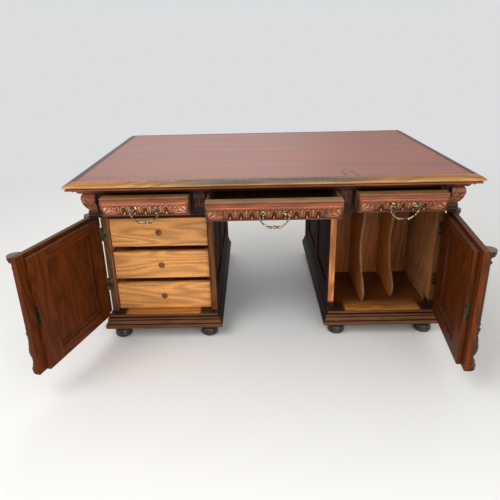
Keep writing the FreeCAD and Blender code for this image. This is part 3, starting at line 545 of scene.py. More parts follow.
# ---- carving
SWELL_FOOT = 8.0              # levels of the frieze section above its foot
SWELL_HEAD = 47.0
ARCH_LEVEL = 33.0             # centre of a flute's arched head
FLUTE_FOOT = 15.0
RIM_WIDTH = 4.0
RIM_RISE = 2.4
PEARL_RADIUS = 4.8
PEARL_LEVEL = 13.0
RIBBON_HEAD = 60.5            # the zigzag ribbon lies between the swell's head and this level
RIBBON_PITCH = 20.0
LEAF_LENGTH = 58.0
CURL = (43, 27, 13)           # centre and radius of the corner leaf's curl
PLAIN_END = 9.0


def hump(distance, width):
    """A smooth ridge, 1 at its middle and 0 at half its width."""
    share = min(1.0, abs(distance) * 2 / width)
    return 0.5 + 0.5 * math.cos(math.pi * share)


def flute(x, level, half):
    """One arched flute with its rim and the pearl at its foot, x from its middle."""
    if level > ARCH_LEVEL:
        reach = math.hypot(x, level - ARCH_LEVEL)
    elif level < FLUTE_FOOT:
        reach = math.hypot(x, FLUTE_FOOT - level)
    else:
        reach = abs(x)
    height = 0.0
    if reach < half:
        height = -CARVE_DEPTH * math.sqrt(1 - (reach / half) ** 2)
    elif level > FLUTE_FOOT:
        height = RIM_RISE * hump(reach - half - RIM_WIDTH / 2, RIM_WIDTH)
    pearl = math.hypot(x, level - PEARL_LEVEL)
    if pearl < PEARL_RADIUS:
        height = math.sqrt(PEARL_RADIUS ** 2 - pearl ** 2) * 0.9
    return height


def dart(x, level, half):
    """The pointed tongue between two flutes, x from its middle."""
    share = (level - SWELL_FOOT) / (SWELL_HEAD - SWELL_FOOT)
    width = half * (0.35 + 0.65 * share)
    if abs(x) > width:
        return 0.0
    return 1.8 * (1 - abs(x) / width) * min(1.0, share * 4)


def zigzag(x, level):
    """A raised zigzag ribbon on a sunk ground, above the flutes."""
    inside = min(1.0, (level - SWELL_HEAD) / 1.5, (RIBBON_HEAD - level) / 1.5)
    if inside <= 0:
        return 0.0
    rise = RIBBON_HEAD - SWELL_HEAD - 6
    line = SWELL_HEAD + 3 + rise * 2 * abs((x / RIBBON_PITCH) % 1.0 - 0.5)
    return inside * (5.0 * hump(level - line, 8) - 2.6)


def corner_leaf(along, level):
    """A leaf that curls from the lower corner, along from the plain end inwards."""
    up = level - SWELL_FOOT
    rise = SWELL_HEAD - SWELL_FOOT
    if not (0 < along < LEAF_LENGTH and 0 < up < rise):
        return 0.0
    edge = min(1.0, along / 4, (LEAF_LENGTH - along) / 4, up / 4, (rise - up) / 4)
    turn = math.atan2(up, along + 2)
    reach = math.hypot(along, up)
    lobes = abs(math.sin(turn * 5.5 + reach * 0.035))
    curl_x, curl_up, curl_radius = CURL
    curl = math.hypot(along - curl_x, up - curl_up)
    if curl < curl_radius:
        lobes = 0.5 + 0.5 * math.cos(curl * 0.85 + math.atan2(up - curl_up, along - curl_x))
    return edge * (4.8 * lobes - 2.4)


def nulling(start, end, centres, half, pitch):
    """Relief of a frieze length: flutes at the given centres and a leaf at each end."""
    last = max(abs(centre) for centre in centres)

    def relief(x, level):
        if level < SWELL_FOOT or not start + PLAIN_END < x < end - PLAIN_END:
            return 0.0
        if level >= SWELL_HEAD:
            return zigzag(x, level)
        if abs(x) < last + pitch / 2:
            nearest = min(centres, key=lambda centre: abs(x - centre))
            tongue = dart(pitch / 2 - abs(x - nearest), level, pitch / 2 - half - RIM_WIDTH)
            return flute(x - nearest, level, half) + tongue
        return corner_leaf(min(x - start, end - x) - PLAIN_END, level)

    return relief


def leaf_tablet(middle, width, low, high):
    """Relief of a carved tablet: a leaf that opens upwards over a drop."""
    root = low + (high - low) * 0.3

    def relief(x, level):
        x -= middle
        inside = min(1.0, (width / 2 - abs(x)) / 3, (level - low) / 3, (high - level) / 3)
        if inside <= 0:
            return 0.0
        up = level - root
        if up > 0:
            turn = math.atan2(abs(x), up)
            reach = math.hypot(x, up) / (high - root)
            leaf = 2.6 * abs(math.cos(turn * 4.5)) * (1.1 - 0.6 * reach)
            return inside * (leaf + 1.5 * hump(x, 5) - 1.6)
        drop = hump(x, 9 * (1 + up / (root - low) * 0.6))
        return inside * (3.0 * drop - 1.8)

    return relief


CUSHION_OUT = 30.0            # how far the carved frieze stands out
PLANK = 24.0                  # planks of the frieze and of the drawer fronts
TAIL_SHOW = 0.3               # the dovetails of a drawer's sides stand past its front
FIT = 1.5                     # gap between a drawer and what stands beside it
RETURN_WIDTH = 34.0           # return of the end cushions on the long sides
PEDESTAL_MIDDLE = 508.0       # of either pedestal, from the middle of the desk
SIDE_STILE = 78.0             # widths in the framed sides of a pedestal
SIDE_RAIL = 73.0
WALL_HALF = 13.0              # half the thickness of such a side
DOOR_STILES = (105.0, 383.0)  # where a door's panel starts and ends, from its hinge pins
ROSE = 11.0                   # radius of a handle's rose plate
ROSE_SEAT = 12.0              # how far the posts reach in behind their rose plates
MIRROR_X = Matrix.Scale(-1, 4, (1, 0, 0))
HALF_TURN = Matrix.Rotation(math.pi, 4, "Z")
QUARTER_TURN = Matrix.Rotation(math.pi / 2, 4, "Z")
FAR_QUARTERS = (MIRROR_X, HALF_TURN, HALF_TURN @ MIRROR_X)
FINISHES = {}


def box_mm(node):
    """A CAD node's lowest and highest corners."""
    return [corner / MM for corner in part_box(node)]


def frieze_planes():
    """Foot and height of the frieze, and how far out the planes lie that its carving is on."""
    low, high = box_mm("frieze_blocks")
    return low.z, high.z - low.z, high.x - CUSHION_OUT, high.y - CUSHION_OUT


def wear(node, material):
    """Give a CAD node a finish: one material on all of its slots."""
    piece = frame["nodes"][node]
    if not piece.data.materials:
        piece.data.materials.append(material)
    for slot in piece.material_slots:
        slot.material = material


def seen_directly(add):
    """1 for what the eye sees, straight or in a gloss, and 0 for what lights the desk."""
    path = add("LightPath").outputs
    seen = path["Is Camera Ray"]
    for ray in ("Is Glossy Ray", "Is Transmission Ray"):
        seen = add("Math", {0: seen, 1: path[ray]}, operation="MAXIMUM")
    return seen


# ---- operators
class DESK_OT_stage(bpy.types.Operator):
    """Pale floor, soft light and the camera"""

    bl_idname = "desk.stage"
    bl_label = "Stage, light and camera"

    def execute(self, context):
        # floor and lamps are in metres
        backdrop = linear("#dcdddf")
        bpy.ops.object.select_all(action="DESELECT")
        bpy.ops.mesh.primitive_plane_add(size=30, location=(0, 0, 0))
        floor = context.object
        floor.name = "floor"
        # matt paint, which fades into the backdrop away from the desk
        material, shader, add = new_material("painted studio floor, matt")
        place = add("TexCoord").outputs["Object"]
        distance = add("VectorMath", {0: place}, operation="LENGTH").outputs["Value"]
        far = add("MapRange", {"Value": distance, "From Min": 1.4, "From Max": 4.0})
        seen = add("Math", {0: far, 1: seen_directly(add)}, operation="MULTIPLY")
        pale = add("Emission", {"Color": backdrop, "Strength": 1.0})
        mixed = add("MixShader", {"Fac": seen, 1: shader, 2: pale})
        feed(shader, {"Base Color": linear("#f2f2f1"), "Roughness": 0.75})
        feed(material.node_tree.nodes["Material Output"], {"Surface": mixed})
        floor.data.materials.append(material)

        world = bpy.data.worlds.new("studio")
        context.scene.world = world
        world.use_nodes = True
        world.node_tree.nodes.clear()
        add = partial(add_node, world.node_tree)
        soft = add("Background", {"Color": linear("#fbf8f3"), "Strength": 0.55})
        pale = add("Background", {"Color": backdrop, "Strength": 1.0})
        mixed = add("MixShader", {"Fac": seen_directly(add), 1: soft, 2: pale})
        add("OutputWorld", {"Surface": mixed})

        target = Vector((0, 0, 0.5))
        for name, spot, width, watts in (
            ("key", (-2.2, -2.6, 3.4), 2.6, 90.0),
            ("fill", (1.0, -3.8, 1.2), 2.8, 78.0),
            ("back", (-0.6, 3.0, 3.2), 2.8, 43.0),
        ):
            bpy.ops.object.light_add(type="AREA", location=spot)
            lamp = context.object
            lamp.name = name
            lamp.data.size = width
            lamp.data.energy = watts
            lamp.rotation_euler = (target - Vector(spot)).to_track_quat("-Z", "Y").to_euler()

        # the eye stands in front of the desk, a little left, and looks slightly down
        eye = Vector((-75.3, -2514.4, 1261.6)) * MM
        swing, tilt, roll = -0.0120, 0.3889, 0.0230
        focal_px = 490.9
        picture_px = 500.0
        level = Vector((math.cos(swing), -math.sin(swing), 0.0))
        forward = Vector((math.sin(swing), math.cos(swing), 0.0))
        ahead = forward * math.cos(tilt) - Vector((0.0, 0.0, math.sin(tilt)))
        down = ahead.cross(level)
        right = level * math.cos(roll) + down * math.sin(roll)
        below = down * math.cos(roll) - level * math.sin(roll)
        turn = Matrix((right, -below, -ahead)).transposed()
        bpy.ops.object.camera_add(location=eye)
        camera = context.object
        camera.matrix_world = Matrix.Translation(eye) @ turn.to_4x4()
        camera.data.sensor_width = 36.0
        camera.data.lens = camera.data.sensor_width * focal_px / picture_px
        context.scene.camera = camera
        context.scene.view_settings.view_transform = "Standard"
        return {"FINISHED"}


class DESK_OT_cad_finishes(bpy.types.Operator):
    """Wood, brass and iron on the pieces that keep their CAD shape"""

    bl_idname = "desk.cad_finishes"
    bl_label = "Finishes of the carcass"

    def execute(self, context):
        colours = context.scene.desk_colours
        self.show_wood(colours, colours.stained_oak)
        self.inner_wood(colours, colours.cupboard_oak)
        self.metal_and_leather(colours)
        self.framed_work(colours)
        # the other nodes, also those that a carved piece will stand for
        by_node = {
            "top_edge_moulding": "golden", "bed_moulding": "mouldings", "plinths": "plinth",
            # the frieze frame, end boards and blocks take the finish painted dark as shade
            "frieze_frame": "carved_dark", "frieze_end_boards": "carved_dark",
            "frieze_blocks": "carved_dark", "pedestal_boards": "cupboard",
            "top_board": "raw_depth", "letter_dividers": "divider", "bun_feet": "feet",
            "writing_leather": "leather", "back_left_door": "upright", "back_right_door": "upright",
        }
        for number in "123":
            by_node["inner_drawer_" + number] = "raw"
            by_node["inner_drawer_" + number + "_knob"] = "raw_depth"
        for bay in ("left", "centre", "right"):
            by_node[bay + "_drawer_front"] = "carved"
            by_node[bay + "_drawer_box"] = "raw_depth"
            by_node["back_" + bay + "_drawer"] = "carved"
        for node in frame["nodes"]:
            if "handle" in node:
                by_node[node] = "brass"
            elif "hinge" in node:
                by_node[node] = "old_brass"
            elif node.endswith(("_lock", "_bolt")):
                by_node[node] = "iron"
            elif node.endswith("_columns"):
                by_node[node] = "column"
        for node, finish in by_node.items():
            wear(node, FINISHES[finish])
        return {"FINISHED"}

    def show_wood(self, colours, stained):
        """Carved and moulded oak on the outside."""
        top = box_mm("top_edge_moulding")[1]
        frieze = frieze_planes()[2:]
        plinth = box_mm("plinths")[1]
        drawer_top = box_mm("centre_drawer_front")[1].z
        # the cove over the carving is pale, and the upper edge of a front is bare golden wood,
        # painted brighter still as painted light
        front_edges = [
            (shade_of(stained, 2.1), ("z", drawer_top - 26, drawer_top - 23)),
            (linear("#ecaa6a"), ("z", drawer_top - 1.8, drawer_top - 1)),
        ]
        # painted shade darkens the hollows of the carving, where stain also gathered, and its
        # ridges are painted light, as a painted highlight and the rub of hands
        FINISHES["carved"] = oak(
            "oak, stained and waxed", stained, grime_and_shade=0.6, zones=front_edges, contrast=0.7,
            rough=0.42, shine=0.3, rubbed=linear("#c0825a"),
        )
        # the same, painted lighter as painted light, for the drawer that catches more light
        FINISHES["carved_pale"] = oak(
            "oak, stained and waxed, painted lighter as lit", shade_of(stained, 1.6), grime_and_shade=0.6, contrast=0.7,
            zones=front_edges, rough=0.42, shine=0.3, rubbed=linear("#dea886"),
        )
        # darker as painted shade, with dust on what faces up
        FINISHES["carved_ends"] = oak(
            "oak, stained and waxed, in shade", shade_of(stained, 0.8), grime_and_shade=0.7, dust=0.15,
            shine=0.25, mitres=(0.0, *frieze), rubbed=linear("#b88268"),
        )
        # painted nearly black as shade, only its ridges and dust show
        FINISHES["carved_dark"] = oak(
            "oak, stained, painted dark as shade", shade_of(stained, 0.22), grime_and_shade=0.8, dust=0.25, rough=0.5,
            shine=0.2, mitres=(0.0, *frieze), rubbed=linear("#94735f"),
        )
        # painted dark as shade under the top, and redder as painted light where light reaches its
        # corners
        FINISHES["mouldings"] = oak(
            "oak mouldings under the top, stained, painted dark as shade", shade_of(stained, 0.22), grime_and_shade=0.7, rough=0.5,
            shine=0.2, mitres=(0.0, top.x, top.y),
            zones=[(shade_of(stained, 0.7), ("|x|", 700, 790))],
        )
        # the round nosing is rubbed light; the middle of the long bevels is greyed, by sleeves and
        # as a painted reflection; below the nosing a dark band is painted shade; the bead under it
        # keeps its red stain, painted darker as shade; and the ends are painted dark as shade
        FINISHES["golden"] = oak(
            "golden oak, polished", shade_of(colours.golden_oak, 1.1), rough=0.35, contrast=0.6,
            shine=0.15, mitres=(0.0, top.x, top.y), zones=[
                (linear("#ba8452"), ("z", top.z - 10, top.z - 12)),
                (linear("#6e6052"), ("|x|", 620, 250), ("z", top.z - 16, top.z - 12)),
                (linear("#3c2416"), ("z", top.z - 20.5, top.z - 21.5)),
                (linear("#7e4a2e"), ("z", top.z - 25, top.z - 26)),
                (linear("#402418"), ("ends", 0.4, 0.6)),
            ],
        )
        # dark lines along the plinth's three quirks, and painted shade over dark stain on its faces
        # in the knee hole
        quirks = [
            (linear("#341a10"), ("z", level - 3, level - 2), ("z", level + 3, level + 2))
            for level in (plinth.z - 10, plinth.z - 22, plinth.z - 40)
        ]
        knee_side = 2 * PEDESTAL_MIDDLE - plinth.x + 40
        knee_faces_shaded = (linear("#1c110d"), ("|x|", knee_side, knee_side - 2), ("|nx|", 0.3, 0.5))
        FINISHES["plinth"] = oak(
            "oak plinth, stained", shade_of(colours.aged_oak, 0.42), rough=0.55, grime_and_shade=0.9,
            contrast=0.5, shine=0.15, zones=[*quirks, knee_faces_shaded],
            mitres=(PEDESTAL_MIDDLE, plinth.x - PEDESTAL_MIDDLE, plinth.y),
        )
        # black and glossy, with a film of dust
        FINISHES["feet"] = oak(
            "beech, turned and ebonised", linear("#26231d"), "z", rough=0.3, dust=0.12
        )

    def inner_wood(self, colours, cupboard):
        """Oak inside the pedestals, and upright show wood."""
        front = -box_mm("outer_sides")[1].y
        lying = ("nz", 0.5, 0.9)
        # floors are darker and darkest along the front near the doors, the ledge in front of them
        # is as dark, and what was pushed in wore the middle golden
        floors = [
            (shade_of(cupboard, 0.45), lying),
            (linear("#2e190e"), ("y", front + 50, front + 30), lying),
            (linear("#2e190e"), ("y", front + 1, front + 0.5)),
            (
                linear("#c07c3c"), ("y", front + 80, front - 20), lying,
                ("|x|", 335, 345), ("|x|", 695, 680),
            ),
        ]
        # pale, with a lively figure under thin oil
        FINISHES["raw"] = oak(
            "oak, oiled", colours.raw_oak, rough=0.5, figure=0.9, contrast=0.75
        )
        # dull and brown, browned by age and painted darker as the shade inside the drawers, its
        # fibres running back
        FINISHES["raw_depth"] = oak(
            "oak, bare, browned by age, painted darker as shade", shade_of(colours.aged_oak, 0.5), "y", rough=0.6,
            contrast=0.7,
        )
        # warm brown walls over dark floors
        FINISHES["cupboard"] = oak(
            "oak cupboard boards, oiled", cupboard, "z", rough=0.5, contrast=0.7, flats=True,
            zones=floors, shine=0.25,
        )
        # lighter boards, their front edges greyed as a painted highlight
        FINISHES["divider"] = oak(
            "oak dividers, oiled", linear("#be7832"), "z", rough=0.5, shine=0.25, contrast=0.7,
            zones=[(linear("#785640"), ("|nx|", 0.7, 0.5))],
        )
        # old polish, deep red brown, dusty on its ledges
        FINISHES["upright"] = oak(
            "oak, dark polish, upright grain", colours.dark_oak, "z", rough=0.4, dust=0.2,
            shine=0.25,
        )
        # nearly black turnings with dust on every ring
        FINISHES["column"] = oak(
            "oak columns, blackened polish", shade_of(colours.dark_oak, 0.4), "z", rough=0.35,
            dust=0.45, shine=0.3,
        )

    def metal_and_leather(self, colours):
        """Handles, hinges, locks, nails and the writing leather."""
        for finish, name, bright, tarnish, *look in (
            # bright where fingers rub, brown in its hollows
            ("brass", "cast brass, rubbed bright", colours.brass, "#2e2618", 0.42, 0.6, 9, 0.34),
            # dull yellow that went brown in patches
            (
                "old_brass", "hinge brass, tarnished", linear("#8c7850"), "#3c3424",
                0.4, 0.7, 14, 0.45,
            ),
            # dark grey with a film of oil
            (
                "iron", "wrought iron, oiled and dark", linear("#6a6858"), "#2c2a22",
                0.4, 0.7, 22, 0.45,
            ),
            # black, with a faint glint on each dome
            ("nail", "iron nail heads, blackened", linear("#4a3c34"), "#1c1613", 0.4, 0.7, 30, 0.4),
        ):
            FINISHES[finish] = aged_metal(name, bright, linear(tarnish), *look)
        # dusky red with a soft sheen, and two dark scratches near its front edge
        half = box_mm("writing_leather")[1]
        FINISHES["leather"] = hide(
            "cowhide, dyed burgundy, faded", colours.leather, half.x, half.y,
            ((292, -474, 301, -556), (330, -476, 350, -558)),
        )

    def framed_work(self, colours):
        """Front doors and sides: stiles stand, rails lie, and both hold upright panels."""
        low, high = box_mm("outer_sides")
        front = -high.y
        rails = (
            "y", front + SIDE_STILE, -front - SIDE_STILE, low.z + SIDE_RAIL, high.z - SIDE_RAIL
        )
        edges = ("y", front + 1, front + 0.5)
        # painted shade: the front corners of the right cupboard are black at their foot
        foot = (
            linear("#281810"), ("z", low.z + 40, low.z + 26), ("y", front + 60, front + 45),
            ("x", -100, 0),
        )
        # old polish outside; the faces inside the cupboards, past the middle of a wall, were
        # oiled only
        outer_middle = high.x - WALL_HALF
        wear("outer_sides", oak(
            "oak sides, dark polish", colours.dark_oak, "z", rough=0.4, rails=rails, dust=0.2,
            shine=0.25, contrast=0.8, zones=[
                (linear("#a06c42"), ("|x|", outer_middle, outer_middle - 0.5)),
                (shade_of(colours.aged_oak, 0.4), edges),
                foot,
            ],
        ))
        # black and dull in the knee hole, dark stain under painted shade, with golden front edges,
        # darker on the left
        knee_middle = box_mm("knee_sides")[1].x - WALL_HALF
        wear("knee_sides", oak(
            "oak sides of the knee hole, never polished", shade_of(colours.dark_oak, 0.3), "z",
            rough=0.8, shine=0.1, rails=rails, zones=[
                (colours.cupboard_oak, ("|x|", knee_middle, knee_middle + 0.5)),
                (shade_of(colours.aged_oak, 1.8), edges),
                (shade_of(colours.aged_oak, 0.42), edges, ("x", 0, -100)),
                foot,
            ],
        ))
        for side, way in (("left", 1), ("right", -1)):
            hinge = next(j for j in frame["joints"] if j["name"] == side + "_door_hinge")
            turn = math.radians(-hinge["range_deg"][0]) * hinge["axis"][2]
            pin = (Matrix.Rotation(-turn, 3, "Z") @ Vector(hinge["pos_m"])).x / MM
            ends = sorted(pin + way * stile for stile in DOOR_STILES)
            low, high = box_mm(side + "_door_panel")
            # painted shade darkens the doors near their hinges
            hinge_shade = (shade_of(colours.dark_oak, 0.7), ("x", pin + way * 240, pin + way * 90))
            polish = dict(turn=turn, shine=0.08, grime_and_shade=0.6, zones=[hinge_shade])
            wear(side + "_door_frame", oak(
                side + " door oak, dark polish", colours.dark_oak, "z", rough=0.42, contrast=0.8,
                dust=0.15, rails=("x", *ends, low.z, high.z), **polish,
            ))
            wear(side + "_door_panel", oak(
                side + " door panel, dark polish", colours.dark_oak, "z", rough=0.4, contrast=0.7,
                **polish,
            ))


def cushion_steps(root, height, share=1.0):
    """Section of the carved frieze: fillet, swell, fillet, cove and fillet.

    share makes what stands out shallower."""
    out = CUSHION_OUT
    steps = [
        (root, 0),
        (4, 0),
        (4, 6),
        (2, SWELL_FOOT),
        (17, 24, out - 4, height - 30),
        (out, height - 28),
        (out, height - 22),
        (out - 7, height - 14, out - 3, height - 5),
        (out - 3, height),
        (root, height),
    ]
    # levels stand at the odd places of a step
    return [
        tuple(v if i % 2 or v < 0 else v * share for i, v in enumerate(step)) for step in steps
    ]


def flute_centres(room, pitch):
    """Centres of the flutes that fit between two end leaves, one of them in the middle."""
    count = int((room / 2 - PLAIN_END - LEAF_LENGTH - pitch * 0.3) / pitch)
    return [pitch * i for i in range(-count, count + 1)]


class DESK_OT_drawer_fronts(bpy.types.Operator):
    """Carved fronts of the six frieze drawers, and the boxes of the rear ones"""

    bl_idname = "desk.drawer_fronts"
    bl_label = "Carved drawer fronts"

    def execute(self, context):
        sizes = context.scene.desk_sizes
        pitch = sizes.flute_pitch / MM
        flute_half = sizes.flute_width / MM / 2
        for bay, behind in (
            ("left", "back_right"), ("centre", "back_centre"), ("right", "back_left"),
        ):
            node = bay + "_drawer_front"
            low, high = box_mm(node)
            middle = (low.x + high.x) / 2
            width = high.x - low.x
            half = width / 2 - TAIL_SHOW
            steps = cushion_steps(low.y + CUSHION_OUT - high.y, high.z - low.z)
            relief = nulling(-half, half, flute_centres(width, pitch), flute_half, pitch)
            front = carved_bar(bay + "_carved_front", steps, -half, half, relief)
            self.seat_posts(front, bay, low, middle)
            move_mesh(front, shift(middle, low.y + CUSHION_OUT, low.z))
            back_node = behind + "_drawer"
            backwards = shift(0, box_mm(back_node)[1].y + low.y, 0) @ HALF_TURN
            back = copy_of(front, behind + "_carved_front", backwards)
            # the left drawer's front takes the copy painted lighter, as lit
            finish = FINISHES["carved_pale" if bay == "left" else "carved"]
            place_on(front, bay + "_drawer", "carved_oak", finish, node)
            place_on(back, back_node, "carved_oak", FINISHES["carved"], back_node)
            self.rear_box(behind)
        return {"FINISHED"}

    def seat_posts(self, front, bay, low, middle):
        """Press the flat seats of the handle's rose plates into the carving."""
        posts_low, posts_high = box_mm(bay + "_handle_posts")
        level = (posts_low.z + posts_high.z) / 2 - low.z
        depth = posts_high.y - ROSE_SEAT - (low.y + CUSHION_OUT)
        for x in (posts_low.x + ROSE - middle, posts_high.x - ROSE - middle):
            seat = Vector((x, depth, level)) * MM
            edit(front)
            pick_points(
                front,
                lambda p: p.y < -MM and math.hypot(p.x - seat.x, p.z - seat.z) < (ROSE + 1) * MM,
            )
            bpy.ops.transform.resize(value=(1, 0, 1), center_override=seat)
            done()

    def rear_box(self, name):
        """Sides, back and bottom of a closed rear drawer."""
        low, high = box_mm(name + "_drawer")
        inner = high.y - CUSHION_OUT - PLANK
        side, end, thin = 10, 8, 6
        top = high.z - 3
        foot = low.z + 0.5
        left, right = low.x + side, high.x - side
        boards = [
            board("side", (low.x, low.y, foot), (left, inner, top)),
            board("side", (right, low.y, foot), (high.x, inner, top)),
            board("end", (left, low.y, foot + 2 * thin), (right, low.y + end, top)),
            board("bottom", (left, low.y, foot + thin), (right, inner, foot + 2 * thin)),
        ]
        box = join(name + "_box", boards)
        place_on(box, name + "_drawer", "plain_oak", FINISHES["raw_depth"])


class DESK_OT_frieze_ends(bpy.types.Operator):
    """The carved cushions along both ends, with their short returns on the long sides"""

    bl_idname = "desk.frieze_ends"
    bl_label = "Carved ends of the frieze"

    def execute(self, context):
        sizes = context.scene.desk_sizes
        pitch = sizes.flute_pitch / MM
        half = sizes.flute_width / MM / 2
        foot, height, plane_x, plane_y = frieze_planes()
        # a barrel that is fullest near its head, on a fillet
        full = CUSHION_OUT - 7
        barrel = [
            (0, 0),
            (5, 0),
            (5, 9),
            (1, 13),
            (full - 8, 34, full, 62),
            (full - 0.5, 74, full - 5, 84),
            (full - 9, height),
            (0, height),
        ]
        relief = nulling(-plane_y, plane_y, flute_centres(2 * plane_y, pitch), half, pitch)
        cushion = carved_bar("cushion", barrel, -plane_y, plane_y, relief, (1, 1), fine=2.1)
        move_mesh(cushion, shift(plane_x, 0, foot) @ QUARTER_TURN)

        start = plane_x - RETURN_WIDTH
        leaf = leaf_tablet(start + RETURN_WIDTH / 2, RETURN_WIDTH + 40, 14, height - 6)
        returned = carved_bar("return", barrel, start, plane_x, leaf, (0, 1))
        move_mesh(returned, shift(0, -plane_y, foot))
        pieces = [returned, cushion, copy_of(cushion, "cushion", HALF_TURN)]
        pieces += [copy_of(returned, "return", matrix) for matrix in FAR_QUARTERS]
        ends = join("frieze_ends", pieces)
        place_on(ends, "desk", "carved_oak", FINISHES["carved_ends"], "frieze_blocks")
        return {"FINISHED"}


class DESK_OT_frieze_tablets(bpy.types.Operator):
    """Carved tablets between the drawers, and an upright oval beside each outer drawer"""

    bl_idname = "desk.frieze_tablets"
    bl_label = "Carved tablets and ovals"

    def execute(self, context):
        foot, height, plane_x, plane_y = frieze_planes()
        head = foot + height
        middle_z = foot + height / 2
        drawer_end = box_mm("right_drawer_front")[1].x + FIT
        stile = board("stile", (drawer_end, -plane_y, foot), (plane_x, PLANK - plane_y, head))
        oval_half = (plane_x - drawer_end - RETURN_WIDTH) / 2
        oval = primitive(
            "uv_sphere", "oval", segments=24, ring_count=16,
            location=Vector((drawer_end + oval_half, -plane_y, middle_z)) * MM,
            scale=Vector((oval_half - 1, oval_half + 1, height / 2 - 5)) * MM,
        )
        edit(oval)
        pick_points(oval, lambda p: abs(p.z - middle_z * MM) < 20 * MM)
        bpy.ops.transform.resize(value=(1.06, 1.06, 1.0))
        done()
        quarter = [stile, smooth(oval)]

        # the tablet between two drawers, carved on a shallower swell of the frieze's own form
        inner = box_mm("centre_drawer_front")[1].x + FIT
        outer = box_mm("right_drawer_front")[0].x - FIT
        middle = (inner + outer) / 2
        half = (outer - inner) / 2 - 12
        tablet = carved_bar(
            "tablet", cushion_steps(-4, height, 0.62), middle - half, middle + half,
            leaf_tablet(middle, 2 * half - 2, 9, height - 9),
        )
        move_mesh(tablet, shift(0, -plane_y, foot))
        quarter += [
            tablet,
            board("backing", (inner, -plane_y - 4, foot), (outer, PLANK - plane_y, head)),
        ]
        for x in (inner + 6, outer - 6):
            bead = primitive(
                "cylinder", "bead", vertices=20, radius=5 * MM, depth=height * MM,
                location=Vector((x, -plane_y - 4, middle_z)) * MM,
            )
            quarter.append(smooth(bead))
        near = join("near", quarter)
        others = [copy_of(near, "far", matrix) for matrix in FAR_QUARTERS]
        tablets = join("frieze_tablets", [near] + others)
        # the tablets take the finish painted dark as shade
        place_on(tablets, "desk", "carved_oak", FINISHES["carved_dark"])
        return {"FINISHED"}


class DESK_OT_bed_moulding(bpy.types.Operator):
    """The stepped moulding under the top, cut into small teeth"""

    bl_idname = "desk.bed_moulding"
    bl_label = "Toothed moulding under the top"

    def execute(self, context):
        pitch = context.scene.desk_sizes.tooth_pitch / MM
        plane_x, plane_y = frieze_planes()[2:]
        low, high = box_mm("bed_moulding")
        height = high.z - low.z
        # two quarter rounds, each on a fillet, that step out to the bead of the top's edge
        steps = [
            (-18, 0),
            (12, 0),
            (12, 2),
            (28, 3, 36, 11),
            (38, 11),
            (38, 13),
            (47, 15, 50, 22),
            (51, 22),
            (51, height),
            (-18, height),
        ]

        def teeth(x, level):
            if not 2 < level < 22:
                return 0.0
            return -4.0 * hump(x % pitch - pitch / 2, pitch * 0.8)

        runs = []
        for length, plane, turn in ((plane_x, plane_y, 0.0), (plane_y, plane_x, math.pi / 2)):
            run = carved_bar("run", steps, -length, length, teeth, (1, 1), fine=2.6)
            move_mesh(run, Matrix.Rotation(turn, 4, "Z") @ shift(0, -plane, low.z))
            runs += [run, copy_of(run, "run", HALF_TURN)]
        moulding = join("bed_carving", runs)
        place_on(moulding, "desk", "carved_oak", FINISHES["mouldings"], "bed_moulding")
        return {"FINISHED"}


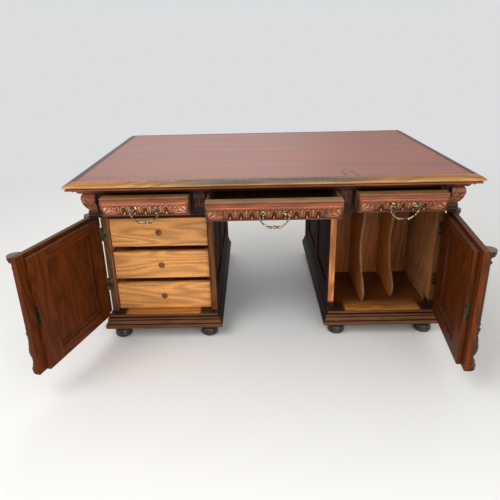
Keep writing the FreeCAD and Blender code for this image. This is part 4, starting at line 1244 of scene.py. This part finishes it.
class DESK_OT_leather(bpy.types.Operator):
    """The writing leather, stretched over the board, with its nails and scratches"""

    bl_idname = "desk.leather"
    bl_label = "Writing leather"

    def execute(self, context):
        low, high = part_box("writing_leather")
        surface = high.z - 1.0 * MM
        leather = primitive("grid", "leather_skin", x_subdivisions=130, y_subdivisions=90, size=1)
        edit(leather, "SELECT")
        bpy.ops.transform.resize(value=(high.x - low.x, high.y - low.y, 1))
        bpy.ops.transform.translate(value=(0, 0, surface))
        done()
        # the hide does not lie quite flat, but its rim does
        for point in leather.data.vertices:
            wave = noise.noise(Vector((point.co.x * 5, point.co.y * 9, 2.0)))
            rim = min(high.x - abs(point.co.x), high.y - abs(point.co.y))
            if rim > 1 * MM:
                point.co.z += 0.35 * MM * wave
        edit(leather, "SELECT")
        bpy.ops.mesh.extrude_region_move(TRANSFORM_OT_translate={"value": (0, 0, low.z - surface)})
        done(outward=True)
        smooth(leather, 40)
        place_on(leather, "desk", "leather", FINISHES["leather"], "writing_leather")
        self.nails(context.scene.desk_sizes, high)
        return {"FINISHED"}

    def nails(self, sizes, high):
        """Domed nails, a little irregular, along the four edges."""
        rng = random.Random(sizes.nail_seed)
        head = primitive("uv_sphere", "nail", segments=8, ring_count=6, radius=sizes.nail_head / 2)
        edit(head, "SELECT")
        bpy.ops.mesh.bisect(plane_co=(0, 0, 0), plane_no=(0, 0, 1), clear_inner=True, use_fill=True)
        done()
        rise = 0.9 * MM
        move_mesh(head, Matrix.Scale(2 * rise / sizes.nail_head, 4, (0, 0, 1)))
        smooth(head)
        inset = 6 * MM
        nails = []
        for along, across, swap in ((high.x, high.y, False), (high.y, high.x, True)):
            reach = along - inset
            count = round(2 * reach / sizes.nail_spacing)
            for side in (-1, 1):
                for i in range(count + 1):
                    if swap and i in (0, count):
                        continue
                    a = -along + inset + 2 * reach * i / count + rng.uniform(-1, 1) * 1.5 * MM
                    b = side * (across - inset + rng.uniform(-0.6, 0.6) * MM)
                    spot = (b, a, high.z - rise) if swap else (a, b, high.z - rise)
                    nails.append(copy_of(head, "nail", Matrix.Translation(spot)))
        bpy.data.objects.remove(head)
        place_on(join("leather_nails", nails), "desk", "old_steel", FINISHES["nail"])


OPERATORS = (
    DESK_OT_stage,
    DESK_OT_cad_finishes,
    DESK_OT_drawer_fronts,
    DESK_OT_frieze_ends,
    DESK_OT_frieze_tablets,
    DESK_OT_bed_moulding,
    DESK_OT_leather,
)


class DESK_PT_finishes(bpy.types.Panel):
    """Buttons for the pieces of the desk, in the order in which they are made"""

    bl_idname = "DESK_PT_finishes"
    bl_label = "Partners desk"
    bl_space_type = "VIEW_3D"
    bl_region_type = "UI"
    bl_category = "Desk"

    def draw(self, context):
        for settings in (context.scene.desk_sizes, context.scene.desk_colours):
            for name in settings.bl_rna.properties.keys():
                if name not in ("rna_type", "name"):
                    self.layout.prop(settings, name)
        for operator in OPERATORS:
            self.layout.operator(operator.bl_idname)


CLASSES = (DeskSizes, DeskColours, *OPERATORS, DESK_PT_finishes)


def register():
    for item in CLASSES:
        bpy.utils.register_class(item)
    bpy.types.Scene.desk_sizes = bpy.props.PointerProperty(type=DeskSizes)
    bpy.types.Scene.desk_colours = bpy.props.PointerProperty(type=DeskColours)


def unregister():
    del bpy.types.Scene.desk_colours
    del bpy.types.Scene.desk_sizes
    for item in reversed(CLASSES):
        bpy.utils.unregister_class(item)


def main():
    register()
    for operator in OPERATORS:
        group, name = operator.bl_idname.split(".")
        getattr(getattr(bpy.ops, group), name)()


if __name__ == "__main__":
    main()
